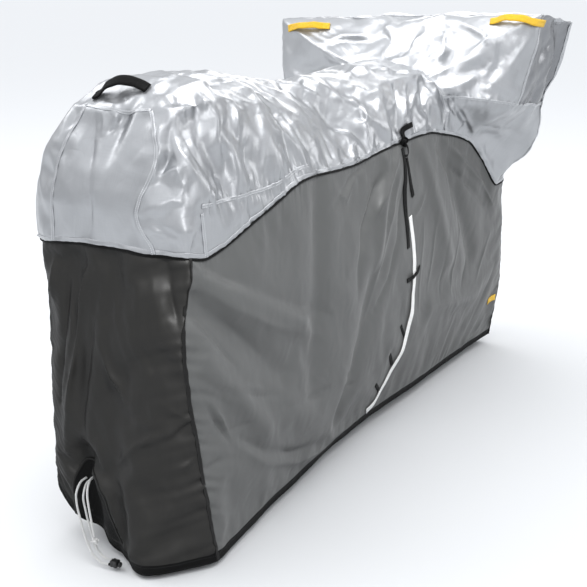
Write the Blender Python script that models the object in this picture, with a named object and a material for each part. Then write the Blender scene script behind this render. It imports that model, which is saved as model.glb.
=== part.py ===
# Fitted rain cover for a bicycle, hollow, hanging as it does over the bicycle.
# Metres, +Z up. The rear end is at -X, the handlebar hood at +X, the right side at -Y.
# The tables below are measured from the floor; one empty lifts everything so that the origin
# lies at the rest point under the ridge.

import math

import bmesh
import bpy
import numpy as np
from mathutils import Vector
from mathutils.bvhtree import BVHTree

# driving sizes
CLOTH = 0.0024            # thickness of every sheet
SEAM_PULL = 0.0002        # each piece stops this far short of a seam line
HEM_BAND = 0.022          # height of the black band round the bottom
PIPING = 0.006            # width of the piping under the silver hem
PIPING_PROUD = 0.0012     # how far the piping stands off the cloth
BAND_PROUD = 0.0006       # the same for the hem band
TOP_CROWN = 2.2           # how square the top is across: 2 is round, more is squarer
REST_HEIGHT = 0.990       # height above the floor of the rest point under the ridge

# One row for each upright line of the cover, from the rear middle round the right side to the
# front middle: its name, the number of columns up to the next line, and a place (x, y, z) for each
# level, from the hem (foot) to the shoulder (edge).
LEVELS = ("foot", "belly", "waist", "seam", "band", "crease", "edge")
RIGHT = (
    ("rear_mid", 3, (-.926, .006, .012), (-.955, .015, .260), (-.957, .020, .520),
     (-.954, .034, .715), (-.957, .025, .790), (-.935, .028, .870), (-.886, .018, .985)),
    ("rear_flank", 3, (-.978, -.095, .008), (-.960, -.110, .260), (-.958, -.115, .520),
     (-.935, -.125, .709), (-.942, -.095, .790), (-.910, -.117, .890), (-.876, -.080, .988)),
    ("rear_corner", 2, (-.845, -.200, .010), (-.900, -.200, .260), (-.942, -.196, .520),
     (-.905, -.188, .702), (-.905, -.178, .790), (-.885, -.165, .870), (-.845, -.120, .990)),
    ("hem_tip", 5, (-.775, -.190, .010), (-.820, -.204, .260), (-.845, -.206, .520),
     (-.850, -.189, .692), (-.868, -.190, .800), (-.815, -.172, .900), (-.785, -.135, .995)),
    ("haunch", 5, (-.630, -.172, .015), (-.650, -.206, .260), (-.655, -.209, .520),
     (-.650, -.200, .752), (-.650, -.193, .800), (-.645, -.170, .900), (-.640, -.128, .980)),
    ("hip", 5, (-.420, -.150, .022), (-.440, -.203, .260), (-.450, -.208, .520),
     (-.450, -.197, .799), (-.450, -.190, .825), (-.450, -.165, .890), (-.450, -.125, .946)),
    ("saddle_dip", 6, (-.180, -.130, .030), (-.200, -.192, .260), (-.220, -.200, .520),
     (-.230, -.185, .795), (-.230, -.178, .815), (-.230, -.158, .848), (-.230, -.122, .885)),
    ("tie_line", 5, (.050, -.120, .032), (.050, -.178, .260), (.040, -.190, .520),
     (.030, -.176, .815), (.030, -.170, .845), (.030, -.155, .900), (.030, -.118, .955)),
    ("top_tube", 4, (.280, -.120, .030), (.280, -.170, .260), (.260, -.184, .520),
     (.240, -.171, .822), (.240, -.167, .850), (.240, -.153, .910), (.240, -.112, .972)),
    ("hood_foot", 5, (.450, -.116, .028), (.450, -.166, .260), (.430, -.180, .520),
     (.390, -.170, .803), (.385, -.168, .850), (.375, -.160, .910), (.360, -.115, .965)),
    ("hood_rear", 2, (.570, -.113, .028), (.580, -.162, .260), (.570, -.176, .500),
     (.530, -.181, .768), (.533, -.230, .810), (.538, -.323, .884), (.584, -.379, 1.141)),
    ("hood_mid", 2, (.690, -.111, .027), (.700, -.159, .260), (.695, -.172, .470),
     (.645, -.184, .695), (.660, -.235, .760), (.670, -.322, .872), (.690, -.388, 1.128)),
    ("hood_front", 3, (.800, -.109, .026), (.820, -.156, .260), (.815, -.168, .440),
     (.750, -.197, .603), (.812, -.275, .715), (.803, -.320, .861), (.793, -.394, 1.113)),
    ("front_corner", 3, (.948, -.117, .030), (.948, -.146, .260), (.930, -.149, .440),
     (.880, -.164, .602), (.885, -.190, .715), (.885, -.205, .860), (.850, -.250, 1.095)),
    ("front_mid", 3, (.945, .000, .020), (.965, .000, .260), (.955, .000, .440),
     (.938, .000, .600), (.930, .000, .715), (.905, .000, .860), (.845, .000, 1.100)),
)
# The left side mirrors the right one, but for these lines, which hang differently.
LEFT_CHANGES = {
    "hood_front": {"seam": (.720, .196, .603), "band": (.720, .270, .720),
                   "crease": (.710, .360, .865), "edge": (.680, .420, 1.105)},
    "hood_mid": {"band": (.590, .250, .765), "crease": (.570, .380, .880),
                 "edge": (.560, .420, 1.112)},
    "hood_rear": {"seam": (.490, .181, .770), "band": (.465, .250, .810),
                  "crease": (.415, .392, .900), "edge": (.435, .415, 1.117)},
    "hood_foot": {"edge": (.330, .115, .965)},
    "hem_tip": {"foot": (-.790, .205, .060), "belly": (-.810, .214, .270),
                "waist": (-.810, .212, .520), "seam": (-.815, .213, .705),
                "edge": (-.790, .125, 1.012)},
    "rear_corner": {"foot": (-.895, .207, .122), "belly": (-.890, .212, .280),
                    "waist": (-.890, .206, .500), "seam": (-.895, .214, .698),
                    "band": (-.890, .231, .760), "crease": (-.875, .205, .875),
                    "edge": (-.855, .132, .985)},
    "rear_flank": {"foot": (-.930, .108, .060), "belly": (-.945, .120, .270),
                   "waist": (-.945, .125, .520), "seam": (-.945, .135, .708),
                   "band": (-.945, .135, .785), "crease": (-.925, .130, .870),
                   "edge": (-.878, .085, .988)},
}
# height of the ridge over each cross line of the top
RIDGE = {"rear_corner": 1.000, "hem_tip": 1.043, "haunch": 1.043, "hip": 1.012, "saddle_dip": .995,
         "tie_line": 1.000, "top_tube": 1.010, "hood_foot": 1.003, "hood_rear": 1.132,
         "hood_mid": 1.128, "hood_front": 1.105}
LEVEL_CELLS = {"belly": 2, "waist": 3, "seam": 2, "band": 1, "crease": 1, "edge": 2}

# Main folds: start and end of the line (x, y, z), half width and depth; a minus depth is a trough.
FOLDS = (
    ("rear_notch", (-.885, -.020, .975), (-.945, -.005, .900), .020, -.014),
    ("rear_middle", (-.900, .040, .960), (-.960, .040, .740), .022, -.006),
    ("rear_black_1", (-.950, .075, .680), (-.950, .095, .200), .028, -.012),
    ("rear_black_2", (-.955, -.020, .690), (-.960, .000, .080), .026, -.010),
    ("rear_black_3", (-.945, -.090, .690), (-.965, -.060, .050), .026, .010),
    ("hem_recess", (-.945, .085, .230), (-.945, .075, .030), .030, -.030),
    ("hem_lip", (-.950, .020, .170), (-.950, -.010, .020), .024, .014),
    ("rear_edge", (-.900, -.110, .950), (-.945, -.110, .720), .022, .008),
    ("hump_trough", (-.800, -.080, 1.010), (-.790, -.190, .860), .034, -.016),
    ("hump_ridge_1", (-.730, -.080, 1.020), (-.720, -.200, .830), .028, .012),
    ("hump_ridge_2", (-.560, -.070, 1.015), (-.580, -.200, .830), .030, .012),
    ("hump_trough_2", (-.480, -.060, 1.005), (-.500, -.195, .840), .028, -.010),
    ("dip_trough", (-.300, -.040, .985), (-.120, -.160, .850), .026, -.012),
    ("dip_ridge", (-.200, -.020, 1.000), (.000, -.160, .850), .024, .012),
    ("tube_ridge", (.100, .000, 1.005), (.120, -.165, .840), .026, .010),
    ("hood_trough_1", (.420, .330, 1.060), (.440, .080, 1.040), .030, -.012),
    ("hood_ridge_1", (.430, .300, 1.000), (.470, .000, 1.080), .034, .014),
    ("hood_ridge_2", (.470, -.050, 1.040), (.540, -.300, .920), .030, .016),
    ("hood_trough_2", (.480, -.120, 1.110), (.520, -.200, .960), .028, -.012),
    ("under_trough", (.480, -.190, .850), (.700, -.230, .720), .030, -.008),
    ("grey_fold_1", (-.880, -.200, .665), (-.500, -.205, .470), .030, .011),
    ("grey_fold_2", (-.900, -.200, .600), (-.580, -.205, .360), .032, -.012),
    ("grey_fold_3", (-.880, -.200, .480), (-.660, -.200, .260), .030, .010),
    ("grey_fold_4", (-.400, -.205, .780), (-.440, -.190, .300), .036, -.011),
    ("grey_fold_5", (-.020, -.195, .780), (-.100, -.190, .520), .026, .012),
    ("grey_fold_6", (-.100, -.190, .500), (-.250, -.170, .140), .034, -.010),
    ("grey_fold_7", (.210, -.185, .780), (.420, -.175, .420), .032, .010),
    ("grey_fold_8", (.360, -.180, .780), (.620, -.170, .400), .034, -.012),
    ("grey_fold_9", (.300, -.170, .300), (.700, -.155, .240), .030, .008),
    ("left_fold_1", (-.700, .205, .700), (-.600, .190, .100), .040, -.012),
    ("left_fold_2", (-.300, .200, .740), (-.380, .180, .140), .038, -.012),
    ("left_fold_3", (.150, .185, .780), (.080, .170, .120), .036, -.010),
    ("left_fold_4", (.500, .175, .700), (.600, .150, .120), .036, -.010),
    ("front_fold", (.940, .050, .560), (.960, .060, .060), .034, -.010),
)

# Straps that lie on the cloth. Each is seen along one direction: side from the right, top from
# above, rear from behind. Its knots are two coordinates in that view, then the lift off the cloth.
STRAP_GAP = .0005
STRAPS = (
    ("handle_rear_black", "top", .020, .0024, "black",
     ((-.850, .084, 0), (-.848, .070, .003), (-.842, .046, .017), (-.836, .018, .021),
      (-.834, -.008, .013), (-.833, -.026, .005), (-.832, -.040, 0))),
    ("handle_hood_left_yellow", "rear", .022, .0024, "yellow",
     ((.376, 1.090, 0), (.358, 1.092, .004), (.325, 1.091, .016), (.285, 1.094, .016),
      (.254, 1.097, .005), (.238, 1.098, 0))),
    ("handle_hood_right_yellow", "rear", .022, .0024, "yellow",
     ((-.246, 1.118, .0008), (-.262, 1.118, .005), (-.294, 1.119, .020), (-.330, 1.119, .020),
      (-.357, 1.118, .006), (-.372, 1.116, 0))),
    ("tie_tape_black", "side", .015, .0018, "black",
     ((.076, .800, 0), (.079, .760, 0), (.081, .702, 0), (.088, .650, 0), (.094, .614, 0),
      (.100, .560, 0), (.104, .520, 0))),
    ("tie_end_upper_black", "side", .012, .0018, "black",
     ((.085, .837, 0), (.093, .847, .002), (.108, .854, .005), (.124, .858, .007))),
    ("tie_end_lower_black", "side", .012, .0018, "black",
     ((.104, .770, 0), (.106, .735, 0), (.116, .700, 0), (.136, .660, .001))),
    ("belly_tape_white", "side", .018, .0018, "white",
     ((.122, .606, 0), (.142, .508, 0), (.149, .458, 0), (.152, .413, .0032), (.152, .344, .0032),
      (.139, .285, .0032), (.122, .237, .0032), (.099, .197, .0032), (.072, .156, .0032),
      (.046, .115, .0032), (.016, .083, .0028), (-.014, .064, .0014))),
    ("belt_loop_1_black", "side", .013, .0018, "black",
     ((.108, .424, 0), (.122, .427, .0025), (.136, .431, .0054), (.164, .439, .0054),
      (.178, .443, .0025), (.192, .447, 0))),
    ("belt_loop_2_black", "side", .010, .0016, "black",
     ((.094, .296, 0), (.108, .276, 0), (.128, .252, 0))),
    ("belt_loop_3_black", "side", .012, .0016, "black",
     ((.034, .226, 0), (.056, .205, 0), (.078, .182, 0))),
    ("belt_loop_4_black", "side", .012, .0016, "black",
     ((-.018, .150, 0), (.008, .132, 0), (.034, .114, 0))),
    ("side_tab_yellow", "side", .022, .0022, "yellow",
     ((.872, .168, 0), (.890, .172, 0), (.910, .174, 0), (.926, .174, .001))),
)
TIE_KNOT = {"at": (.077, .818), "radii": (.014, .007, .0125), "lift": .0085}

# The drawcord: two strands of its loop fall to the lock, the tail ends in a knot.
CORD_SIZE = .005
CORD_LOOP = ((-.9236, .098, .168), (-.940, .100, .164), (-.958, .099, .144), (-.965, .093, .122),
             (-.970, .082, .096), (-.975, .069, .067), (-.980, .052, .040), (-.985, .031, .020),
             (-.985, .008, .010), (-.982, -.0082, .0110))
CORD_RETURN = ((-.9182, .084, .168), (-.936, .085, .164), (-.956, .081, .138), (-.962, .071, .112),
               (-.966, .060, .083), (-.970, .047, .054), (-.974, .032, .032), (-.975, .014, .020),
               (-.972, .001, .0165), (-.971, -.0083, .0160))
CORD_TAIL = ((-.9190, .074, .178), (-.938, .072, .176), (-.960, .064, .162), (-.972, .054, .142),
             (-.978, .044, .114), (-.982, .036, .090), (-.985, .029, .0675))
CORD_KNOT = {"at": (-.9861, .0264, .0590), "radii": (.008, .009, .0085)}
CORD_LOCK = {"at": (-.976, -.022, .0135), "size": (.020, .026, .017), "round": .004}


def material(name, colour, roughness, metallic=0.0):
    mat = bpy.data.materials.new(name)
    mat.use_nodes = True
    shader = mat.node_tree.nodes["Principled BSDF"]
    shader.inputs["Base Color"].default_value = (*colour, 1.0)
    shader.inputs["Roughness"].default_value = roughness
    shader.inputs["Metallic"].default_value = metallic
    mat.diffuse_color = (*colour, 1.0)
    return mat


def place_object(name, mesh, mat, root):
    mesh.materials.append(mat)
    mesh.shade_smooth()
    mesh.set_sharp_from_angle(angle=math.radians(40))
    obj = bpy.data.objects.new(name, mesh)
    bpy.context.scene.collection.objects.link(obj)
    obj.parent = root
    return obj


def curve_through(knots, values, at):
    # monotone cubic through the values, so that nothing bulges past its own rows
    knots = np.asarray(knots, float)
    values = np.asarray(values, float)
    step = np.diff(knots)[:, None]
    slope = np.diff(values, axis=0) / step
    inner = np.zeros_like(values)
    before, after = slope[:-1], slope[1:]
    same = before * after > 0
    total = np.where(same, before + after, 1.0)
    inner[1:-1] = np.where(same, 2 * before * after / total, 0.0)
    inner[0], inner[-1] = slope[0], slope[-1]
    at = np.asarray(at, float)
    seat = np.clip(np.searchsorted(knots, at) - 1, 0, len(knots) - 2)
    width = step[seat]
    t = ((at - knots[seat]) / width[:, 0])[:, None]
    return ((2 * t**3 - 3 * t**2 + 1) * values[seat] + (t**3 - 2 * t**2 + t) * width * inner[seat]
            + (3 * t**2 - 2 * t**3) * values[seat + 1] + (t**3 - t**2) * width * inner[seat + 1])


def closed_stations():
    # the right side as listed, then the left side from the front back to the rear
    rows = [(name + "_R", cells, levels) for name, cells, *levels in RIGHT]
    for place in range(len(RIGHT) - 2, 0, -1):
        name, _, *levels = RIGHT[place]
        changed = LEFT_CHANGES.get(name, {})
        left = [changed.get(level, (x, -y, z)) for level, (x, y, z) in zip(LEVELS, levels)]
        rows.append((name + "_L", RIGHT[place - 1][1], left))
    return rows


def column_points(levels):
    # from the seven levels of one column to its rows of points, hem band and piping included
    levels = np.array(levels)
    along = np.concatenate([[0], np.cumsum(np.linalg.norm(np.diff(levels, axis=0), axis=1))])
    mark = dict(zip(LEVELS, along))
    at = [0.0, HEM_BAND]
    start = HEM_BAND
    for low, high in zip(LEVELS[:-1], LEVELS[1:]):
        end = mark[high]
        cells = LEVEL_CELLS[high]
        stop = end - PIPING if high == "seam" else end
        at += [start + (stop - start) * (k + 1) / cells for k in range(cells)]
        if high == "seam":
            at.append(end)
        start = end
    return curve_through(along, levels, at)


def ring_grid():
    # every column of the wall that goes round the cover, and the line that starts each
    rows = closed_stations()
    points = np.array([row[2] for row in rows])
    wrap = 2
    around = np.concatenate([points[-wrap:], points, points[:wrap + 1]])
    spans = [np.linalg.norm(np.diff(around[:, LEVELS.index(level)], axis=0), axis=1)
             for level in ("waist", "edge")]
    knots = np.concatenate([[0], np.cumsum(sum(spans))])
    around = around.reshape(len(around), -1)
    columns, owner = [], []
    for i, (name, cells, _) in enumerate(rows):
        start, end = knots[i + wrap], knots[i + wrap + 1]
        at = start + (end - start) * np.arange(cells) / cells
        for levels in curve_through(knots, around, at).reshape(cells, len(LEVELS), 3):
            columns.append(column_points(levels))
            owner.append(name)
    return np.array(columns), owner


def top_grid(grid, owner):
    # rows of points across the top: the wall's own top at both ends, a crowned line in between
    total = len(grid)
    first, last = owner.index("rear_corner_R"), owner.index("hood_front_R")
    across = 2 * first
    knots = [owner.index(name + "_R") for name in RIDGE]
    ridge = curve_through(knots, np.array(list(RIDGE.values()))[:, None], range(first, last + 1))
    share = np.linspace(0, 1, across + 1)
    lines = []
    for column in range(first, last + 1):
        right, left = grid[column, -1], grid[total - column, -1]
        line = right + (left - right) * share[:, None]
        rise = ridge[column - first, 0] - (right[2] + left[2]) / 2
        line[:, 2] += rise * (1 - np.abs(2 * share - 1) ** TOP_CROWN)
        lines.append(line)
    lines[0] = np.array([grid[(first - j) % total, -1] for j in range(across + 1)])
    lines[-1] = np.array([grid[last + j, -1] for j in range(across + 1)])
    return first, np.array(lines)


def fold_push(points, normals):
    moved = points.copy()
    for _, start, end, width, depth in FOLDS:
        start, end = np.array(start), np.array(end)
        run = end - start
        share = np.clip((points - start) @ run / (run @ run), 0, 1)
        away = np.linalg.norm(points - (start + share[:, None] * run), axis=1)
        moved += normals * (depth * np.exp(-(away / width) ** 2))[:, None]
    return moved


def normals_of(points, quads):
    total = np.zeros_like(points)
    for quad in quads:
        a, b, c, d = points[list(quad)]
        face = np.cross(c - a, d - b)
        for corner in quad:
            total[corner] += face
    return total / np.linalg.norm(total, axis=1)[:, None]


def row_of(level):
    # the row of a column that lies on a level
    rows = 1 + sum(LEVEL_CELLS[name] for name in LEVELS[1:LEVELS.index(level) + 1])
    return rows + (1 if LEVELS.index(level) >= LEVELS.index("seam") else 0)


def cell_name(line, row):
    # which piece of cloth a cell of the wall belongs to
    # (a stretch of the left side starts at its front end, so it is named after the line behind it)
    side = "left" if line.endswith("_L") else "right"
    order = [station[0] for station in RIGHT]
    base = line[:-2]
    if side == "left" or base == "front_mid":
        base = order[order.index(base) - 1]
    if row == 0:
        return "hem_band"
    if row == row_of("seam") - 1:
        return "seam_piping"
    if row < row_of("seam"):
        if base in ("rear_mid", "rear_flank"):
            return "rear_panel_black"
        return "front_panel_black" if base == "front_corner" else "side_panel_grey_" + side
    if base == "rear_mid":
        return "silver_rear_face"
    if base in ("hem_tip", "haunch") and row < row_of("band"):
        return "silver_gusset_" + side
    if base in ("hood_foot", "hood_rear", "hood_mid"):
        if row < row_of("crease"):
            return "hood_under_" + side
        return "hood_rear_face" if base == "hood_foot" else "hood_end_" + side
    if base in ("hood_front", "front_corner"):
        return "hood_top_front"
    return "silver_saddle_top"


def build_shell():
    # all points of the outer surface, its cells and the piece that each cell belongs to
    grid, owner = ring_grid()
    total, high = grid.shape[:2]
    points = list(grid.reshape(-1, 3))
    quads, labels = [], []
    for column in range(total):
        here, after = column * high, (column + 1) % total * high
        for row in range(high - 1):
            quads.append((here + row, after + row, after + row + 1, here + row + 1))
            labels.append(cell_name(owner[column], row))
    first, top = top_grid(grid, owner)
    count, across = top.shape[0] - 1, top.shape[1] - 1
    seat = np.zeros((count + 1, across + 1), int)
    for i in range(count + 1):
        for j in range(across + 1):
            if j in (0, across) or i in (0, count):
                column = {0: first + i, across: total - first - i}.get(
                    j, first - j if i == 0 else first + count + j)
                seat[i, j] = column % total * high + high - 1
            else:
                seat[i, j] = len(points)
                points.append(top[i, j])
    for i in range(count):
        name = "silver_saddle_top"
        if first + i >= owner.index("hood_rear_R"):
            name = "hood_top_front"
        elif first + i >= owner.index("hood_foot_R"):
            name = "hood_rear_face"
        for j in range(across):
            quads.append((seat[i, j], seat[i + 1, j], seat[i + 1, j + 1], seat[i, j + 1]))
            labels.append(name)
    points = np.array(points)
    return fold_push(points, normals_of(points, quads)), quads, labels


def halves(points, quad):
    # the two triangles of a cell, split along its shorter diagonal
    a, b, c, d = quad
    if np.linalg.norm(points[a] - points[c]) <= np.linalg.norm(points[b] - points[d]):
        return (a, b, c), (a, c, d)
    return (a, b, d), (b, c, d)


def panel_mesh(name, points, normals, quads, proud=0.0):
    # one piece of cloth: its cells, drawn back from the seams and thickened inwards
    edges = {}
    for quad in quads:
        for k in range(4):
            edges[quad[k], quad[(k + 1) % 4]] = quad
    rim = {pair: quad for pair, quad in edges.items() if (pair[1], pair[0]) not in edges}
    inward = {}
    for (a, b), quad in rim.items():
        run = points[b] - points[a]
        p = points[list(quad)]
        face = np.cross(p[2] - p[0], p[3] - p[1])
        side = np.cross(face, run)
        side /= np.linalg.norm(side)
        if side @ (p.mean(axis=0) - points[a]) < 0:
            side = -side
        inward.setdefault(a, []).append(side)
        inward.setdefault(b, []).append(side)
    used = sorted({corner for quad in quads for corner in quad})
    place = {corner: k for k, corner in enumerate(used)}
    mesh = bmesh.new()
    outer, inner = [], []
    for corner in used:
        base = points[corner].copy()
        if corner in inward:
            one, two = inward[corner][0], inward[corner][-1]
            base += SEAM_PULL * (one + two) / (1 + one @ two)
        outer.append(mesh.verts.new(base + normals[corner] * proud))
        inner.append(mesh.verts.new(base - normals[corner] * CLOTH))
    for quad in quads:
        for half in halves(points, quad):
            at = [place[corner] for corner in half]
            mesh.faces.new([outer[k] for k in at])
            mesh.faces.new([inner[k] for k in reversed(at)])
    for a, b in rim:
        # both pieces at a seam split its wall the same way, so that twisted walls stay apart
        low, top = place[min(a, b)], place[max(a, b)]
        mesh.faces.new([outer[low], outer[top], inner[top]])
        mesh.faces.new([outer[low], inner[top], inner[low]])
    bmesh.ops.recalc_face_normals(mesh, faces=mesh.faces)
    data = bpy.data.meshes.new(name)
    mesh.to_mesh(data)
    mesh.free()
    return data


def band_mesh(name, left, right, out, thick):
    # a strap: two long edges, the direction that faces out, and a thickness along it
    mesh = bmesh.new()
    rings = []
    for a, b, n in zip(left, right, out):
        a, b, n = Vector(a), Vector(b), Vector(n)
        rings.append([mesh.verts.new(p) for p in (a, b, b + n * thick, a + n * thick)])
    for one, two in zip(rings[:-1], rings[1:]):
        for k in range(4):
            mesh.faces.new([one[k], one[(k + 1) % 4], two[(k + 1) % 4], two[k]])
    mesh.faces.new(rings[0])
    mesh.faces.new(list(reversed(rings[-1])))
    bmesh.ops.recalc_face_normals(mesh, faces=mesh.faces)
    data = bpy.data.meshes.new(name)
    mesh.to_mesh(data)
    mesh.free()
    return data


def even_line(knots, step):
    # points about a step apart on a smooth line through the knots
    knots = np.array(knots, float)
    along = np.concatenate([[0], np.cumsum(np.linalg.norm(np.diff(knots, axis=0), axis=1))])
    count = max(2, round(along[-1] / step))
    return curve_through(along, knots, np.linspace(0, along[-1], count + 1))


def cast_to(shell, view, u, v):
    # the point of the cloth seen at (u, v) in a view, and the way the cloth faces there
    start, way = {"side": ((u, -1, v), (0, 1, 0)), "top": ((u, v, 2), (0, 0, -1)),
                  "rear": ((-2, u, v), (1, 0, 0))}[view]
    hit, normal, _, _ = shell.ray_cast(Vector(start), Vector(way))
    return hit, normal if normal.dot(Vector(way)) < 0 else -normal


def strap_mesh(name, shell, view, width, thick, knots, step=.011):
    # a strap laid on the cloth: each long edge finds the cloth for itself, and the strap rises
    # over whatever crest lies under its middle or between two of its steps
    line = even_line(knots, step)
    run = np.gradient(line[:, :2], axis=0)
    run /= np.linalg.norm(run, axis=1)[:, None]

    def cloth_under(spot, heading):
        (u, v), (du, dv) = spot, heading
        return [cast_to(shell, view, u - dv * way * width, v + du * way * width)
                for way in (-.5, 0, .5)]

    under = [cloth_under(spot[:2], heading) for spot, heading in zip(line, run)]
    out = [(one[1] + two[1] + three[1]).normalized() for one, two, three in under]
    rise = [max(0.0, (mid[0] - (one[0] + two[0]) / 2).dot(way))
            for (one, mid, two), way in zip(under, out)]
    crest = [0.0] * len(line)
    for k in range(len(line) - 1):
        between = cloth_under((line[k, :2] + line[k + 1, :2]) / 2, (run[k] + run[k + 1]) / 2)
        for here, before, after in zip(between, under[k], under[k + 1]):
            over = (here[0] - (before[0] + after[0]) / 2).dot(out[k])
            crest[k], crest[k + 1] = max(crest[k], over), max(crest[k + 1], over)
    off = [out[k] * (rise[k] + crest[k] + STRAP_GAP + float(line[k, 2])) for k in range(len(line))]
    left = [under[k][0][0] + off[k] for k in range(len(line))]
    right = [under[k][2][0] + off[k] for k in range(len(line))]
    return band_mesh(name, left, right, out, thick)


def lump_mesh(name, at, radii):
    # a small knot: a ball with three shallow turns across it
    mesh = bmesh.new()
    bmesh.ops.create_uvsphere(mesh, u_segments=12, v_segments=8, radius=1.0)
    for vert in mesh.verts:
        x, y, z = vert.co
        turn = 1 + .10 * math.cos(3 * math.atan2(z, x) + 2 * y)
        vert.co = Vector((x * turn * radii[0] + at[0], y * radii[1] + at[1],
                          z * turn * radii[2] + at[2]))
    data = bpy.data.meshes.new(name)
    mesh.to_mesh(data)
    mesh.free()
    return data


def lock_mesh(name, at, size, rounding):
    # the drawcord's lock: a short block with rounded edges
    mesh = bmesh.new()
    bmesh.ops.create_cube(mesh, size=1.0)
    for vert in mesh.verts:
        vert.co = Vector([c * s for c, s in zip(vert.co, size)])
    bmesh.ops.bevel(mesh, geom=mesh.edges[:], offset=rounding, segments=2, affect="EDGES",
                    profile=.5)
    bmesh.ops.translate(mesh, verts=mesh.verts, vec=at)
    data = bpy.data.meshes.new(name)
    mesh.to_mesh(data)
    mesh.free()
    return data


def cord_object(name, knots, mat, root):
    # a free cord: a round tube along a smooth line through its points
    points = even_line(knots, CORD_SIZE * 2.4)
    data = bpy.data.curves.new(name, "CURVE")
    data.dimensions = "3D"
    data.bevel_depth = CORD_SIZE / 2
    data.bevel_resolution = 2
    data.use_fill_caps = True
    spline = data.splines.new("POLY")
    spline.points.add(len(points) - 1)
    for point, place in zip(spline.points, points):
        point.co = (*place, 1.0)
    data.materials.append(mat)
    obj = bpy.data.objects.new(name, data)
    bpy.context.scene.collection.objects.link(obj)
    obj.parent = root
    return obj


def main():
    for obj in list(bpy.data.objects):
        bpy.data.objects.remove(obj, do_unlink=True)
    root = bpy.data.objects.new("cover_root", None)
    bpy.context.scene.collection.objects.link(root)
    root.location = (0, 0, -REST_HEIGHT)

    silver = material("silver_coated_nylon", (.62, .63, .65), .34, .55)
    grey = material("grey_nylon", (.11, .11, .115), .55)
    black = material("black_nylon", (.022, .022, .024), .55)
    binding = material("black_binding", (.02, .02, .02), .7)
    webbing = {"black": material("black_webbing", (.015, .015, .016), .8),
               "yellow": material("yellow_webbing", (.85, .48, .02), .75),
               "white": material("white_tape", (.85, .85, .84), .7)}
    cord = material("white_cord", (.86, .86, .85), .65)
    plastic = material("black_plastic", (.012, .012, .013), .38)

    points, quads, labels = build_shell()
    normals = normals_of(points, quads)
    pieces = {}
    for quad, label in zip(quads, labels):
        pieces.setdefault(label, []).append(quad)
    for label in sorted(pieces):
        mat, proud = silver, 0.0
        if "grey" in label:
            mat = grey
        elif "black" in label:
            mat = black
        elif label == "hem_band":
            mat, proud = binding, BAND_PROUD
        elif label == "seam_piping":
            mat, proud = binding, PIPING_PROUD
        place_object(label, panel_mesh(label, points, normals, pieces[label], proud), mat, root)

    shell = BVHTree.FromPolygons([Vector(p) for p in points],
                                 [half for quad in quads for half in halves(points, quad)])
    for name, view, width, thick, colour, knots in STRAPS:
        mesh = strap_mesh(name, shell, view, width, thick, knots)
        place_object(name, mesh, webbing[colour], root)
    knot, facing = cast_to(shell, "side", *TIE_KNOT["at"])
    place_object("tie_knot_black", lump_mesh("tie_knot_black", knot + facing * TIE_KNOT["lift"],
                                             TIE_KNOT["radii"]), webbing["black"], root)
    cord_object("drawcord_loop", CORD_LOOP, cord, root)
    cord_object("drawcord_return", CORD_RETURN, cord, root)
    cord_object("drawcord_tail", CORD_TAIL, cord, root)
    place_object("drawcord_knot", lump_mesh("drawcord_knot", **CORD_KNOT), cord, root)
    place_object("drawcord_lock", lock_mesh("drawcord_lock", CORD_LOCK["at"], CORD_LOCK["size"],
                                            CORD_LOCK["round"]), plastic, root)
    bpy.context.view_layer.update()


main()
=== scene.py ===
# Looks of a fitted bicycle cover: crumpled silver cloth over grey and black side panels, sewn,
# taped and drawn in at the hem. Heights in the tables are above the floor. The tables of the shell
# and its folds are in mm, all others in metres.
import math

import bmesh
import bpy
import numpy as np
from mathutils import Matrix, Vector
from mathutils.bvhtree import BVHTree

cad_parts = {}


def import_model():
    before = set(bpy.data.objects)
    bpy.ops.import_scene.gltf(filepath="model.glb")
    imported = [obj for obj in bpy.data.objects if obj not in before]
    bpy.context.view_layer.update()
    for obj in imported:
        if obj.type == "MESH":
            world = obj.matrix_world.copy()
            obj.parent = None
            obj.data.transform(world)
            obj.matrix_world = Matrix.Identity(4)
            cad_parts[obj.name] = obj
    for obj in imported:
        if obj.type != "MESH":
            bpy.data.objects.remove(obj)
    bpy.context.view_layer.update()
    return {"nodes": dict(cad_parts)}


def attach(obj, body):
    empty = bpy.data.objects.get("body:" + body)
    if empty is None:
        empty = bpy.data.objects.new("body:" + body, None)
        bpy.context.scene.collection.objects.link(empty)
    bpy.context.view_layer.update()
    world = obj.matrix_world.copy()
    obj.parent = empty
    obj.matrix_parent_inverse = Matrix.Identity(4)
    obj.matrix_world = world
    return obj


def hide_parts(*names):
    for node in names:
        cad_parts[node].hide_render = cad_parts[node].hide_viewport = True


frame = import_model()
print("frame loaded with", len(frame["nodes"]), "nodes")

# the cloth as cut: the values of the whole shell, in metres
cover = {
    "restHeight": .990,     # the rest point under the ridge, which is the origin
    "hemBand": .022,
    "piping": .006,
    "topCrown": 2.2,
    "columnSplit": 5,       # fine columns in each column of the table
    "rows": {"hem": 3, "belly": 23, "waist": 25, "seam": 20, "band": 7, "crease": 11, "edge": 16},
}
levelNames = ("foot", "belly", "waist", "seam", "band", "crease", "edge")
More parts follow.
